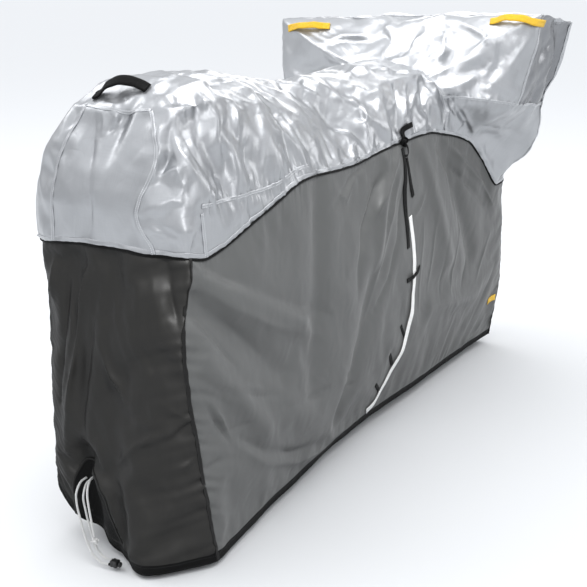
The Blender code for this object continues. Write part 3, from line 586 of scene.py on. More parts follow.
# sharp creases pressed in after the cloth has settled: half width in mm, height in tenths
# of a mm (minus for a valley), then the places that the crease runs through, in mm above the floor
creases = (
    # rear face and rear black cloth
    (9, -60, -882, 56, 987, -909, 47, 921, -935, 31, 855, -952, 23, 796, -953, 32, 731),
    (8, 60, -874, 18, 992, -888, 0, 966, -894, -10, 946),
    (10, -90, -877, -21, 981, -888, -10, 959, -906, 13, 925),
    (8, 30, -866, 121, 986, -900, 136, 918, -923, 145, 858),
    (7, 30, -880, 41, 988, -896, 25, 958, -907, 20, 927),
    (10, 30, -875, -52, 988, -910, -36, 907, -938, -15, 849),
    (10, -30, -928, -51, 871, -919, -65, 891, -912, -78, 911),
    (9, 60, -860, -69, 994, -893, -108, 946, -904, -122, 913, -921, -121, 872, -932, -108, 836, -942, -95,
     805, -946, -90, 783, -945, -100, 759, -939, -122, 737),
    # rear flank
    (13, -110, -829, -98, 996, -875, -126, 949, -897, -138, 898, -915, -131, 864, -930, -115, 837),
    (10, 90, -871, -133, 945, -878, -149, 908, -869, -170, 868, -846, -182, 830, -833, -190, 804),
    (10, -70, -848, -138, 951, -848, -161, 905, -830, -176, 851, -816, -187, 811),
    (10, 100, -922, -124, 860, -906, -141, 873, -896, -154, 875, -893, -165, 848),
    (9, -80, -928, -118, 843, -916, -136, 848, -911, -149, 837, -910, -158, 822),
    (11, 100, -944, -101, 790, -929, -132, 810, -913, -155, 818, -901, -175, 806),
    (9, -80, -926, -148, 783, -912, -163, 801, -901, -175, 806),
    (12, 60, -944, -105, 770, -929, -147, 747, -896, -188, 734),
    (10, 60, -932, -138, 775, -914, -173, 756, -883, -189, 752),
    (6, -30, -897, -181, 794, -871, -191, 762, -865, -191, 736, -853, -191, 695),
    # over the saddle
    (12, 100, -763, -135, 991, -754, -148, 962, -764, -159, 923, -761, -173, 885),
    (12, -100, -779, -121, 999, -794, -141, 962, -830, -160, 907),
    (10, -80, -734, -144, 976, -760, -161, 923, -756, -177, 878, -771, -186, 831),
    (10, 90, -662, -130, 981, -683, -152, 947, -696, -172, 908),
    (10, 90, -736, -176, 896, -736, -185, 851, -739, -194, 802),
    (9, 60, -579, -142, 957, -610, -177, 880, -645, -193, 800),
    (11, -70, -613, -133, 968, -669, -174, 887, -691, -193, 807),
    (7, 50, -802, -88, 1006, -834, -126, 981, -828, -141, 957),
    (7, 50, -758, -106, 1013, -768, -131, 995, -775, -140, 972),
    (7, 40, -885, -167, 863, -890, -173, 836, -893, -179, 809),
    (7, 40, -788, -169, 865, -808, -178, 840, -808, -187, 812),
    # from the ridge down to the grey
    (10, 70, -538, -131, 961, -489, -153, 900, -450, -188, 824),
    (9, -60, -457, -112, 957, -443, -163, 891, -391, -186, 821),
    (9, 60, -355, -88, 961, -320, -117, 912, -254, -147, 863),
    (8, 80, -244, -67, 960, -223, -95, 915, -210, -139, 867),
    (9, -90, -115, -106, 938, -84, -127, 919, -82, -156, 874, -95, -175, 816),
    (8, 90, -88, -112, 939, -73, -145, 898, -19, -171, 858),
    (7, 70, -62, -130, 922, -91, -155, 870, -107, -173, 822),
    (8, 80, 34, -112, 960, 14, -141, 921, -4, -169, 862),
    (7, 70, 116, -94, 979, 96, -129, 945, 88, -152, 910),
    (8, 80, 197, -122, 958, 131, -152, 911, 91, -173, 846),
    (9, 90, 297, -114, 967, 193, -149, 916, 130, -168, 864),
    (9, -80, 128, -128, 948, 90, -157, 899, 73, -169, 848),
    (8, -60, -302, -129, 891, -299, -161, 855, -306, -182, 819),
    # along the ridge
    (12, 60, -799, -70, 1015, -731, -98, 1027, -584, -99, 1007, -413, -96, 966),
    (12, -50, -730, -72, 1038, -586, -74, 1024, -413, -68, 988),
    (10, 50, -258, -29, 988, -192, -77, 956, -96, -110, 939),
    # before the hood
    (11, -120, 301, -125, 953, 259, -156, 900, 288, -169, 830),
    (8, 80, 316, -128, 950, 321, -159, 894, 350, -167, 829),
    (9, 100, 353, -166, 817, 386, -168, 866, 411, -176, 876, 452, -186, 825),
    (10, -90, 390, -164, 923, 437, -190, 868, 503, -198, 797),
    (8, 70, 405, -177, 905, 446, -199, 862, 517, -205, 796),
    # hood
    (14, -100, 397, 339, 966, 359, 170, 989, 360, 36, 1009, 361, -61, 998, 373, -126, 965),
    (12, 90, -207, -15, 999, 17, -18, 999, 181, -55, 1000, 295, -99, 978, 404, -170, 928, 458, -249, 907,
     536, -325, 887),
    (10, 100, 388, 249, 1048, 407, 190, 1069, 424, 97, 1082, 452, 45, 1106, 436, 7, 1090),
    (10, -90, 377, 243, 1030, 397, 184, 1055, 411, 103, 1065, 425, 58, 1080, 407, 15, 1047),
    (9, 80, 371, 135, 1013, 387, 97, 1034, 409, 65, 1057),
    (10, 90, 389, -28, 1021, 426, -41, 1060, 450, -68, 1082, 481, -53, 1115),
    (9, -80, 384, -4, 1020, 415, -27, 1048, 438, -41, 1076),
    (12, 110, 499, -119, 1116, 455, -121, 1066, 416, -134, 1011, 403, -151, 967),
    (12, -80, 473, -69, 1104, 433, -96, 1052, 399, -88, 1011),
    (12, 100, 497, -167, 1111, 486, -235, 1085, 483, -269, 1052, 479, -272, 1007, 460, -246, 956),
    (11, -70, 497, -280, 1085, 486, -281, 1024, 474, -271, 961),
    (10, 80, 563, -363, 1102, 532, -341, 1052, 507, -317, 1001, 488, -290, 956),
    (9, 70, 586, -369, 1078, 564, -356, 1011, 542, -333, 919),
    (10, -60, 460, -246, 950, 485, -287, 927, 527, -321, 893),
    (8, 60, 376, 214, 1025, 368, 175, 1009, 358, 128, 994),
    (8, 60, 455, -206, 1040, 475, -240, 1063, 487, -266, 1074),
    # hood end
    (10, 100, 629, -379, 1111, 723, -373, 1049, 713, -356, 984),
    (10, -100, 702, -388, 1121, 690, -374, 1063, 631, -358, 1001),
    (9, 80, 780, -383, 1077, 731, -361, 1001, 660, -339, 933),
    # under the hood
    (7, -40, 518, -229, 821, 626, -245, 796, 727, -267, 770, 805, -286, 757),
    (9, 70, 570, -197, 765, 645, -190, 706, 702, -197, 648),
    (9, -70, 625, -215, 760, 696, -211, 688, 745, -208, 630),
    (9, 60, 716, -253, 752, 734, -236, 698, 749, -219, 650),
    # grey below the hood
    (11, -90, 298, -173, 790, 396, -170, 713, 554, -178, 630, 699, -176, 543),
    (12, 90, 396, -167, 780, 501, -177, 711, 666, -179, 613, 762, -179, 533),
    (9, 50, 229, -184, 657, 193, -183, 622, 152, -184, 601),
    # grey, front half
    (6, 30, 318, -182, 631, 297, -183, 504, 279, -178, 356),
    (6, -30, 433, -171, 599, 385, -184, 487, 366, -173, 304),
    (6, 30, 534, -170, 551, 480, -177, 436, 437, -170, 254),
    (6, -30, 630, -173, 483, 593, -166, 373, 510, -160, 214),
    (6, 40, 784, -168, 434, 716, -165, 346, 609, -147, 173),
    (7, -40, 863, -158, 314, 799, -151, 230, 707, -130, 110),
    (7, 40, 897, -132, 125, 821, -121, 78, 664, -115, 42),
    (6, 30, 220, -185, 578, 202, -184, 458, 217, -176, 310),
    # black cloth
    (10, 175, -952, 36, 676, -945, 75, 521, -941, 110, 378, -935, 138, 229),
    (11, -149, -946, 91, 668, -944, 121, 513, -934, 154, 344),
    (10, -135, -950, 6, 679, -953, 35, 508, -946, 67, 365, -933, 91, 262),
    (9, 135, -955, 21, 533, -951, -14, 445, -960, -51, 393),
    (12, 27, -942, -113, 693, -947, -137, 598, -951, -172, 500),
    (12, -81, -930, -148, 695, -935, -164, 620, -940, -190, 542),
    (9, 108, -953, -20, 239, -966, -82, 299, -953, -136, 329, -926, -194, 367),
    (8, -81, -959, -115, 335, -947, -159, 367, -928, -196, 385),
    (7, 110, -926, 95, 207, -944, 41, 188, -952, 7, 162, -943, -5, 99, -945, -19, 36),
    (8, 108, -943, 139, 661, -936, 152, 574),
    # grey, rear half
    (20, -100, -877, -193, 685, -800, -202, 640, -695, -208, 586, -563, -216, 527, -360, -204, 450),
    (30, 80, -888, -190, 646, -790, -204, 577, -646, -212, 501, -411, -200, 412),
    (13, -60, -900, -187, 615, -842, -200, 568, -752, -203, 501, -660, -199, 428),
    (9, -50, -911, -190, 593, -868, -198, 545, -820, -203, 489, -776, -208, 441),
    (6, -50, -867, -209, 425, -795, -210, 386, -693, -210, 346, -588, -202, 315),
    (6, 40, -867, -209, 438, -786, -209, 399, -673, -207, 358),
    (5, -40, -913, -201, 429, -872, -207, 404, -815, -208, 372),
    (6, -70, -889, -203, 391, -855, -204, 344, -821, -205, 305, -807, -205, 281),
    (6, 60, -872, -206, 386, -831, -205, 336, -800, -206, 288),
    (5, -30, -928, -199, 472, -879, -207, 432, -834, -211, 397),
    (5, -50, -828, -205, 305, -742, -209, 297, -612, -206, 285, -406, -199, 246, -189, -177, 209, -26,
     -172, 210),
    (12, -90, -762, -206, 270, -664, -205, 205, -508, -185, 137, -284, -154, 86),
    (14, 70, -776, -205, 256, -664, -200, 174, -466, -171, 92, -233, -137, 41),
    (7, -40, -890, -200, 243, -849, -203, 246, -774, -203, 231),
    (10, -50, -502, -204, 268, -345, -198, 252, -198, -182, 247),
    (7, 40, -326, -194, 750, -264, -193, 715, -201, -186, 765),
    # grey under the tie
    (14, 120, 55, -177, 797, -5, -184, 731, -80, -194, 675, -99, -193, 646),
    (18, -120, 30, -177, 800, -93, -189, 713, -169, -195, 623, -207, -199, 526, -209, -199, 453),
    (18, 80, 66, -178, 769, 4, -188, 644, -52, -195, 547, -108, -190, 449, -144, -186, 381),
    (13, -80, 72, -183, 687, 37, -189, 556, -16, -191, 456, -95, -190, 391),
    (12, -50, -55, -178, 811, -223, -187, 768, -351, -197, 706),
    # black cloth
    (7, 68, -967, -75, 347, -953, -138, 355, -931, -194, 390),
    (6, -54, -960, -114, 299, -944, -160, 326, -926, -194, 358),
    (6, 54, -954, -140, 404, -945, -169, 385, -933, -189, 372),
    (6, 68, -946, -149, 253, -928, -177, 261, -910, -195, 276),
    (8, 68, -946, 91, 668, -941, 100, 516, -938, 138, 348),
)
creaseShape = {"lift": 1.25, "narrow": .85, "power": 1.05, "reach": 5, "ends": .04}
# finer crumples of each kind of cloth: height, wave length and how far they are drawn out
crumples = {
    "rear": ((.0012, .160, .3), (.0004, .050, .5)),
    "silver": ((.0036, .140, .3), (.0014, .062, .3), (.0006, .030, .5)),
    "hood": ((.0058, .210, .45), (.0024, .095, .45), (.0009, .042, .6)),
    "grey": ((.0009, .240, .6), (.0006, .080, .6), (.0003, .034, .5)),
    "black": ((.0022, .150, .25), (.0010, .060, .25), (.0005, .032, .25)),
}
ridgeWay = (1, 0, .1)       # on top of the saddle the crumples run along the ridge
# gathers beside the sewn lines: each level with its strength and the lines that it runs between
puckers = {
    "length": .019, "height": .0024, "reach": .020,
    "sideLength": .026, "sideHeight": .0012, "sideReach": .040, "sideSlant": .5,
    "waves": 5, "spread": (.7, 1.6), "total": 1.6, "reachSwing": .5, "reachWaves": 180,
    "levels": (("seam", .3, None, None), ("band", 1.0, "hem_tip", "hip"),
               ("crease", .7, "hood_foot", "hood_front")),
}


def pressCreases(points, normals):
    # a crease is sharp along its line and dies away at both ends
    moved = points.copy()
    for width, height, *places in creases:
        width, height, places = width / 1000, height / 10000, np.array(places).reshape(-1, 3) / 1000
        total = len(places) - 1
        best = np.full(len(points), 9.0)
        fade = np.zeros(len(points))
        for k in range(total):
            run = places[k + 1] - places[k]
            share = np.clip((points - places[k]) @ run / (run @ run), 0, 1)
            away = np.linalg.norm(points - (places[k] + share[:, None] * run), axis=1)
            nearer = away < best
            best[nearer] = away[nearer]
            part = np.clip((k + share[nearer]) / total, creaseShape["ends"], 1 - creaseShape["ends"])
            fade[nearer] = np.sin(math.pi * part) ** .5
        near = best < width * creaseShape["reach"]
        sharp = np.exp(-(best[near] / (width * creaseShape["narrow"])) ** creaseShape["power"])
        lift = height * creaseShape["lift"] * fade[near] * sharp
        moved[near] += normals[near] * lift[:, None]
    return moved


def foldedNoise(points, length, along, stretch, make):
    # straight sharp folds in many directions, bent and broken by slow waves
    bend = np.zeros_like(points)
    for _ in range(6):
        way = make.normal(size=3)
        way /= np.linalg.norm(way) * length * make.uniform(2.5, 5)
        phase = make.uniform(0, 2 * math.pi, 3)
        bend += np.sin((points @ way * 2 * math.pi)[:, None] + phase) * length * .22
    bent = points + bend
    total = np.zeros(len(points))
    count = 7
    for _ in range(count):
        way = make.normal(size=3)
        way /= np.linalg.norm(way)
        way -= along * (way @ along) * (1 - stretch)
        turn = bent @ way / (length * make.uniform(.7, 1.5)) + make.uniform()
        sharp = np.abs(turn % 1 - .5) * 4 - 1
        slow = make.normal(size=3) / (length * 6)
        strong = np.sin(points @ slow * 2 * math.pi + make.uniform(0, 6)) ** 2
        total += sharp * strong
    return total / math.sqrt(count / 2.5)


def gatherSeams(points, normals, cut, shell):
    # beside each sewn line of the wall the cloth is drawn into small puckers
    line, heights, owner = shell["line"], shell["heights"], shell["owner"]
    girth = line[-1] + line[1]
    along, up = cut.T
    make = np.random.RandomState(11)
    push = np.zeros(len(points))

    def waves(values, length, whole=None):
        total = 0
        for _ in range(puckers["waves"]):
            count = (whole or 1) / (length * make.uniform(*puckers["spread"]))
            total = total + np.sin(values / (whole or 1) * (round(count) if whole else count)
                                   * 2 * math.pi + make.uniform(0, 6))
        return total / puckers["total"]

    for level, strength, first, last in puckers["levels"]:
        away = up - np.interp(along, line, heights[:, rowOf(level)])
        strong = np.full(len(points), strength)
        if level == "seam":
            strong[away < 0] *= .5
        else:
            inside = np.zeros(len(points), bool)
            for side in "RL":
                ends = sorted(line[owner.index(name + "_" + side)] for name in (first, last))
                inside |= (along > ends[0]) & (along < ends[1])
            strong[~inside] = 0
        swing = np.sin(along / girth * 2 * math.pi * puckers["reachWaves"])
        reach = puckers["reach"] * (1 + puckers["reachSwing"] * swing)
        push += (strong * waves(along, puckers["length"], girth) * np.exp(-np.abs(away) / reach)
                 * puckers["height"])
    low = up < np.interp(along, line, heights[:, rowOf("seam")])
    for name in ("rear_corner_R", "rear_corner_L", "front_corner_R", "front_corner_L"):
        away = along - line[owner.index(name)]
        slant = up + puckers["sideSlant"] * np.abs(away)
        push += (low * waves(slant, puckers["sideLength"]) * np.exp(-np.abs(away) / puckers["sideReach"])
                 * puckers["sideHeight"])
    return points + normals * push[:, None]


def fineShell(shell):
    # the whole cloth divided once more and crumpled, so that neighbours still share their edges
    names, code = np.unique(shell["labels"], return_inverse=True)
    mesh = bpy.data.meshes.new("wholeCover")
    mesh.from_pydata(shell["points"].tolist(), [], shell["quads"].tolist())
    mesh.update()
    mesh.uv_layers.new(name="cut").data.foreach_set("uv", shell["cut"].ravel())
    mesh.attributes.new("piece", "INT", "FACE").data.foreach_set("value", code.astype(np.int32))
    obj = objectOf("wholeCover", mesh)
    smooth = obj.modifiers.new("round", "SUBSURF")
    smooth.levels = smooth.render_levels = 1
    smooth.boundary_smooth = "PRESERVE_CORNERS"
    fine = finishModifiers(obj).data
    points = valuesOf(fine.vertices, "co", 3).reshape(-1, 3)
    quads = valuesOf(fine.loops, "vertex_index", 1, int).reshape(-1, 4)
    cut = valuesOf(fine.uv_layers["cut"].data, "uv", 2)
    piece = valuesOf(fine.attributes["piece"].data, "value", 1, np.int32)
    bpy.data.objects.remove(obj, do_unlink=True)
    normals = normalsOf(points, quads)
    places = np.zeros((len(points), 2))
    places[quads] = cut.reshape(-1, 4, 2)
    points = pressCreases(points, normals)
    points = gatherSeams(points, normals, places, shell)
    share = kindShares(points, quads, names, piece)
    trim = np.isin(names, ("hem_band", "seam_piping"))[piece]
    calm = np.ones(len(points))
    calm[quads[trim]] = .15
    edges = edgesOf(quads)
    calm = blur(calm[:, None], edges, 4)[:, 0]
    flatTop = np.clip((normals[:, 2] - .55) / .3, 0, 1)
    still = points
    for k, kind in enumerate(clothKinds):
        ways = [(clothKinds[kind]["along"], 1 - flatTop if kind == "silver" else 1.0)]
        if kind == "silver":
            ways.append((ridgeWay, flatTop))
        for turn, (way, part) in enumerate(ways):
            make = np.random.RandomState(40 + k + 10 * turn)
            way = np.array(way) / np.linalg.norm(way)
            push = sum(height * foldedNoise(still, length, way, stretch, make)
                       for height, length, stretch in crumples[kind])
            points = points + normals * (push * share[:, k] * part * calm)[:, None]
    points = blur(points, edges, 1, .12)
    print("cloth divided and crumpled:", len(points), "points")
    return {"points": points, "quads": quads, "labels": names[piece], "cut": cut.reshape(-1, 4, 2)}


def clothPiece(fine, label):
    # one cut piece, as the cells of the fine cloth that carry its name
    mine = fine["labels"] == label
    used, local = np.unique(fine["quads"][mine], return_inverse=True)
    obj = meshFrom(label + "_cloth", world(fine["points"][used]), local.reshape(-1, 4))
    obj.data.uv_layers.new(name="cut").data.foreach_set("uv", fine["cut"][mine].ravel())
    return obj


def socketsFor(group, inputs, outputs):
    # named sockets of a shared effect, each with its start value
    for name, kind, value in inputs:
        socket = group.interface.new_socket(name=name, in_out="INPUT", socket_type=kind)
        if value is not None:
            socket.default_value = value
    for name, kind in outputs:
        group.interface.new_socket(name=name, in_out="OUTPUT", socket_type=kind)
    return group.nodes.new("NodeGroupInput"), group.nodes.new("NodeGroupOutput")


def setSockets(node, values):
    for name, value in values.items():
        node.inputs[name].default_value = value


def newNode(tree, kind, values=None, **settings):
    # a shader node with its settings and the values of its sockets
    node = tree.nodes.new(kind)
    for name, value in settings.items():
        setattr(node, name, value)
    setSockets(node, values or {})
    return node


def mathNode(tree, operation, first, second=None, clamp=False):
    node = newNode(tree, "ShaderNodeMath", operation=operation, use_clamp=clamp)
    for place, value in enumerate((first, second)):
        if value is None:
            continue
        if isinstance(value, (int, float)):
            node.inputs[place].default_value = value
        else:
            tree.links.new(value, node.inputs[place])
    return node.outputs[0]


def weaveGroup():
    # plain weave in the cloth's own flat lengths: threads over and under, a little uneven
    group = bpy.data.node_groups.new("plainWeave", "ShaderNodeTree")
    start, end = socketsFor(group, (("Threads per metre", "NodeSocketFloat", 1600.0),
                                    ("Unevenness", "NodeSocketFloat", .35)),
                            (("Height", "NodeSocketFloat"), ("Tone", "NodeSocketFloat")))
    link = group.links.new
    uv = newNode(group, "ShaderNodeUVMap", uv_map="cut")
    split = newNode(group, "ShaderNodeSeparateXYZ")
    link(uv.outputs[0], split.inputs[0])
    waves = []
    for axis in (0, 1):
        turn = mathNode(group, "MULTIPLY", split.outputs[axis], start.outputs[0])
        waves.append(mathNode(group, "SINE", mathNode(group, "MULTIPLY", turn, math.pi)))
    over = mathNode(group, "MULTIPLY", waves[0], waves[1])
    slubs = []
    for scale in ((700, 9, 1), (9, 700, 1)):
        place = newNode(group, "ShaderNodeMapping", {"Scale": scale})
        link(uv.outputs[0], place.inputs["Vector"])
        noise = newNode(group, "ShaderNodeTexNoise", {"Scale": 1.0, "Detail": 2.0})
        link(place.outputs[0], noise.inputs["Vector"])
        slubs.append(noise.outputs["Fac"])
    tone = mathNode(group, "MULTIPLY", mathNode(group, "ADD", *slubs), .5)
    uneven = mathNode(group, "MULTIPLY", mathNode(group, "SUBTRACT", tone, .5), start.outputs[1])
    link(mathNode(group, "ADD", mathNode(group, "MULTIPLY", over, .25), uneven), end.inputs[0])
    link(tone, end.inputs[1])
    return group


def crumpleGroup():
    # small sharp crumples: creased cells of two sizes, bent by a slow noise
    group = bpy.data.node_groups.new("smallCrumples", "ShaderNodeTree")
    start, end = socketsFor(group, (("Cells per metre", "NodeSocketFloat", 26.0),
                                    ("Along", "NodeSocketVector", (1, 1, 1)),
                                    ("Fine share", "NodeSocketFloat", 1.6)),
                            (("Height", "NodeSocketFloat"), ("Mask", "NodeSocketFloat")))
    link = group.links.new
    place = newNode(group, "ShaderNodeTexCoord")
    stretch = newNode(group, "ShaderNodeVectorMath", operation="MULTIPLY")
    link(place.outputs["Object"], stretch.inputs[0])
    link(start.outputs[1], stretch.inputs[1])
    bend = newNode(group, "ShaderNodeTexNoise", {"Scale": 9.0, "Detail": 2.0})
    link(place.outputs["Object"], bend.inputs["Vector"])
    push = newNode(group, "ShaderNodeVectorMath", {"Scale": .10}, operation="SCALE")
    link(bend.outputs["Color"], push.inputs[0])
    at = newNode(group, "ShaderNodeVectorMath", operation="ADD")
    link(stretch.outputs[0], at.inputs[0])
    link(push.outputs[0], at.inputs[1])
    cells = newNode(group, "ShaderNodeTexVoronoi", feature="F1", distance="EUCLIDEAN")
    second = newNode(group, "ShaderNodeTexVoronoi", feature="F2", distance="EUCLIDEAN")
    for node in (cells, second):
        link(at.outputs[0], node.inputs["Vector"])
        link(start.outputs[0], node.inputs["Scale"])
    facets = mathNode(group, "SUBTRACT", second.outputs["Distance"], cells.outputs["Distance"])
    ridges = newNode(group, "ShaderNodeTexNoise", {"Detail": 3.0, "Roughness": .5, "Distortion": .6},
                     noise_type="RIDGED_MULTIFRACTAL", normalize=True)
    link(at.outputs[0], ridges.inputs["Vector"])
    link(mathNode(group, "MULTIPLY", start.outputs[0], .55), ridges.inputs["Scale"])
    fine = mathNode(group, "MULTIPLY", ridges.outputs["Fac"], start.outputs[2])
    link(mathNode(group, "ADD", facets, fine), end.inputs[0])
    slow = newNode(group, "ShaderNodeTexNoise", {"Scale": 4.0, "Detail": 3.0})
    link(place.outputs["Object"], slow.inputs["Vector"])
    link(slow.outputs["Fac"], end.inputs[1])
    return group


groups = {"weave": weaveGroup(), "crumple": crumpleGroup()}


def startMaterial(name):
    mat = bpy.data.materials.new(name)
    mat.use_nodes = True
    tree = mat.node_tree
    return mat, tree, tree.links.new, tree.nodes["Principled BSDF"]


def toneAndGloss(tree, shader, finish, toneMask, glossMask):
    # base colour between two tones and roughness between two values, each by its mask
    tone = newNode(tree, "ShaderNodeMix", {"A": (*finish["dark"], 1), "B": (*finish["light"], 1)},
                   data_type="RGBA")
    spread = newNode(tree, "ShaderNodeMapRange", dict(zip(("To Min", "To Max"), finish["rough"])))
    for mask, node, put, goal in ((toneMask, tone, "Factor", "Base Color"),
                                  (glossMask, spread, "Value", "Roughness")):
        tree.links.new(mask, node.inputs[put])
        tree.links.new(node.outputs["Result"], shader.inputs[goal])


def bumpFrom(tree, height, strength, distance, under=None):
    bump = newNode(tree, "ShaderNodeBump", {"Strength": strength, "Distance": distance})
    tree.links.new(height, bump.inputs["Height"])
    if under:
        tree.links.new(under, bump.inputs["Normal"])
    return bump.outputs["Normal"]


def clothMaterial(name, finish):
    # woven and coated cloth: weave, small crumples, worn and rubbed tone
    mat, tree, link, shader = startMaterial(name)
    weave = newNode(tree, "ShaderNodeGroup", {"Threads per metre": finish["threads"],
                                              "Unevenness": finish["uneven"]}, node_tree=groups["weave"])
    crumple = newNode(tree, "ShaderNodeGroup", {"Cells per metre": finish["cells"],
                                                "Along": finish["along"]}, node_tree=groups["crumple"])
    mixed = mathNode(tree, "ADD", mathNode(tree, "MULTIPLY", weave.outputs["Tone"], .45),
                     mathNode(tree, "MULTIPLY", crumple.outputs["Mask"], .55))
    toneAndGloss(tree, shader, finish, mixed, crumple.outputs["Mask"])
    setSockets(shader, {"Metallic": finish["metal"], "Sheen Weight": finish["sheen"],
                        "Sheen Roughness": .4, "Coat Roughness": .35, "Coat Weight": finish["coat"],
                        "Specular IOR Level": finish["specular"]})
    big = bumpFrom(tree, crumple.outputs["Height"], finish["crumpleStrength"], .004)
    link(bumpFrom(tree, weave.outputs["Height"], finish["weaveStrength"], .0002, big),
         shader.inputs["Normal"])
    return mat


silverFinish = {"dark": (.30, .308, .321), "light": (.50, .511, .528), "rough": (.28, .42), "metal": .85,
                "sheen": 0, "coat": .06, "specular": .5, "threads": 1500, "uneven": .5, "cells": 24,
                "along": (1, 1, 1), "crumpleStrength": .18, "weaveStrength": .3}
finishes = {
    "silver": silverFinish,
    # a darker copy of the silver, put on the right hood end only: painted shade
    "silverPaintedShade": {**silverFinish, "dark": (.15, .155, .165), "light": (.31, .316, .33),
                  "rough": (.22, .34), "crumpleStrength": .30},
    "grey": {"dark": (.034, .0352, .035), "light": (.049, .0506, .0503), "rough": (.40, .50), "metal": 0,
             "sheen": .05, "coat": .02, "specular": .42, "threads": 1400, "uneven": .6, "cells": 18,
             "along": (1, 1, .8), "crumpleStrength": .12, "weaveStrength": .35},
    "black": {"dark": (.0068, .0066, .0061), "light": (.0120, .0117, .0110), "rough": (.48, .58),
              "metal": 0, "sheen": 0, "coat": 0, "specular": .22, "threads": 1400, "uneven": .6,
              "cells": 16, "along": (1, 1, .7), "crumpleStrength": .14, "weaveStrength": .35},
}
mats = {name: clothMaterial(name + "Cloth", finish) for name, finish in finishes.items()}


def wovenBandGroup():
    # narrow weaving: slanting ribs that meet in a herringbone, with fine threads and a little noise
    group = bpy.data.node_groups.new("narrowWeave", "ShaderNodeTree")
    start, end = socketsFor(group, (("Ribs per metre", "NodeSocketFloat", 600.0),
                                    ("Slant", "NodeSocketFloat", 1.0)),
                            (("Height", "NodeSocketFloat"), ("Tone", "NodeSocketFloat")))
    link = group.links.new
    uv = newNode(group, "ShaderNodeUVMap", uv_map="cut")
    split = newNode(group, "ShaderNodeSeparateXYZ")
    link(uv.outputs[0], split.inputs[0])
    across = mathNode(group, "PINGPONG", split.outputs[1], .003)
    slant = mathNode(group, "MULTIPLY", across, start.outputs[1])
    turn = mathNode(group, "MULTIPLY", mathNode(group, "ADD", split.outputs[0], slant), start.outputs[0])
    ribs = mathNode(group, "SINE", mathNode(group, "MULTIPLY", turn, 2 * math.pi))
    threads = mathNode(group, "SINE", mathNode(group, "MULTIPLY", split.outputs[1], 9000.0))
    noise = newNode(group, "ShaderNodeTexNoise", {"Scale": 260.0, "Detail": 3.0})
    link(uv.outputs[0], noise.inputs["Vector"])
    both = mathNode(group, "ADD", mathNode(group, "MULTIPLY", ribs, .6),
                    mathNode(group, "MULTIPLY", threads, .4))
    link(mathNode(group, "ADD", both, mathNode(group, "MULTIPLY", noise.outputs["Fac"], .6)),
         end.inputs[0])
    tone = mathNode(group, "ADD", mathNode(group, "MULTIPLY", ribs, .22), noise.outputs["Fac"], True)
    link(tone, end.inputs[1])
    return group


groups["band"] = wovenBandGroup()


def bandMaterial(name, dark, light, rough, ribs, slant, strength, sheen):
    # webbing, tape, binding, cord and thread: the same narrow weave at their own scales
    mat, tree, link, shader = startMaterial(name)
    band = newNode(tree, "ShaderNodeGroup", {"Ribs per metre": ribs, "Slant": slant},
                   node_tree=groups["band"])
    toneAndGloss(tree, shader, {"dark": dark, "light": light, "rough": rough},
                 band.outputs["Tone"], band.outputs["Tone"])
    setSockets(shader, {"Sheen Weight": sheen, "Specular IOR Level": .15, "Sheen Roughness": .5})
    link(bumpFrom(tree, band.outputs["Height"], strength, .0006), shader.inputs["Normal"])
    return mat


# dark and light tone, roughness, ribs in a metre, slant, bump and sheen
bandFinishes = {
    "blackWebbing": ((.0008, .0008, .0008), (.0035, .0035, .0037), (.6, .8), 620, 1.0, .6, .01),
    "yellowWebbing": ((.66, .36, .010), (.92, .60, .035), (.5, .7), 620, 1.0, .6, .2),
    "whiteTape": ((.74, .74, .73), (.93, .93, .92), (.5, .7), 900, 1.0, .4, .2),
    "binding": ((.0008, .0008, .0008), (.0035, .0035, .0035), (.6, .8), 1100, .4, .4, .01),
    "cord": ((.70, .70, .69), (.93, .93, .92), (.5, .7), 420, 1.6, .8, .2),
    "paleThread": ((.55, .56, .58), (.80, .81, .83), (.4, .6), 2400, 1.0, .3, .1),
    "darkThread": ((.006, .006, .006), (.030, .030, .031), (.4, .6), 2400, 1.0, .3, .1),
    "yellowThread": ((.70, .42, .03), (.95, .70, .12), (.4, .6), 2400, 1.0, .3, .1),
}
for name, finish in bandFinishes.items():
    mats[name] = bandMaterial(name, *finish)


def plasticMaterial(name, finish):
    # moulded plastic: fine grain, rubbed a little brighter here and there
    mat, tree, link, shader = startMaterial(name)
    place = newNode(tree, "ShaderNodeTexCoord")
    grain = newNode(tree, "ShaderNodeTexNoise", {"Scale": 1400.0, "Detail": 4.0})
    rub = newNode(tree, "ShaderNodeTexNoise", {"Scale": 90.0, "Detail": 3.0})
    for node in (grain, rub):
        link(place.outputs["Object"], node.inputs["Vector"])
    toneAndGloss(tree, shader, finish, rub.outputs["Fac"], rub.outputs["Fac"])
    link(bumpFrom(tree, grain.outputs["Fac"], .25, .0002), shader.inputs["Normal"])
    return mat


mats["plastic"] = plasticMaterial("blackPlastic", {"dark": (.006, .006, .006), "rough": (.32, .50),
                                                   "light": (.020, .020, .021)})


litBy = {}      # what a light reaches, by its name above
studio = {
    "camera": (-2.6536, -1.4829, 1.2337),   # above the floor
    "yaw": .5424, "pitch": -.2719,          # radians, from +X towards +Y and up
    "focal": 68.82, "sensor": 36,
    "floorSize": 2000, "floorColour": (.78, .79, .80),
    "lowAir": (.56, .57, .59), "highAir": (1.27, 1.29, 1.325), "dimSide": .62,
    "seenAir": (1, 1, 1),
}
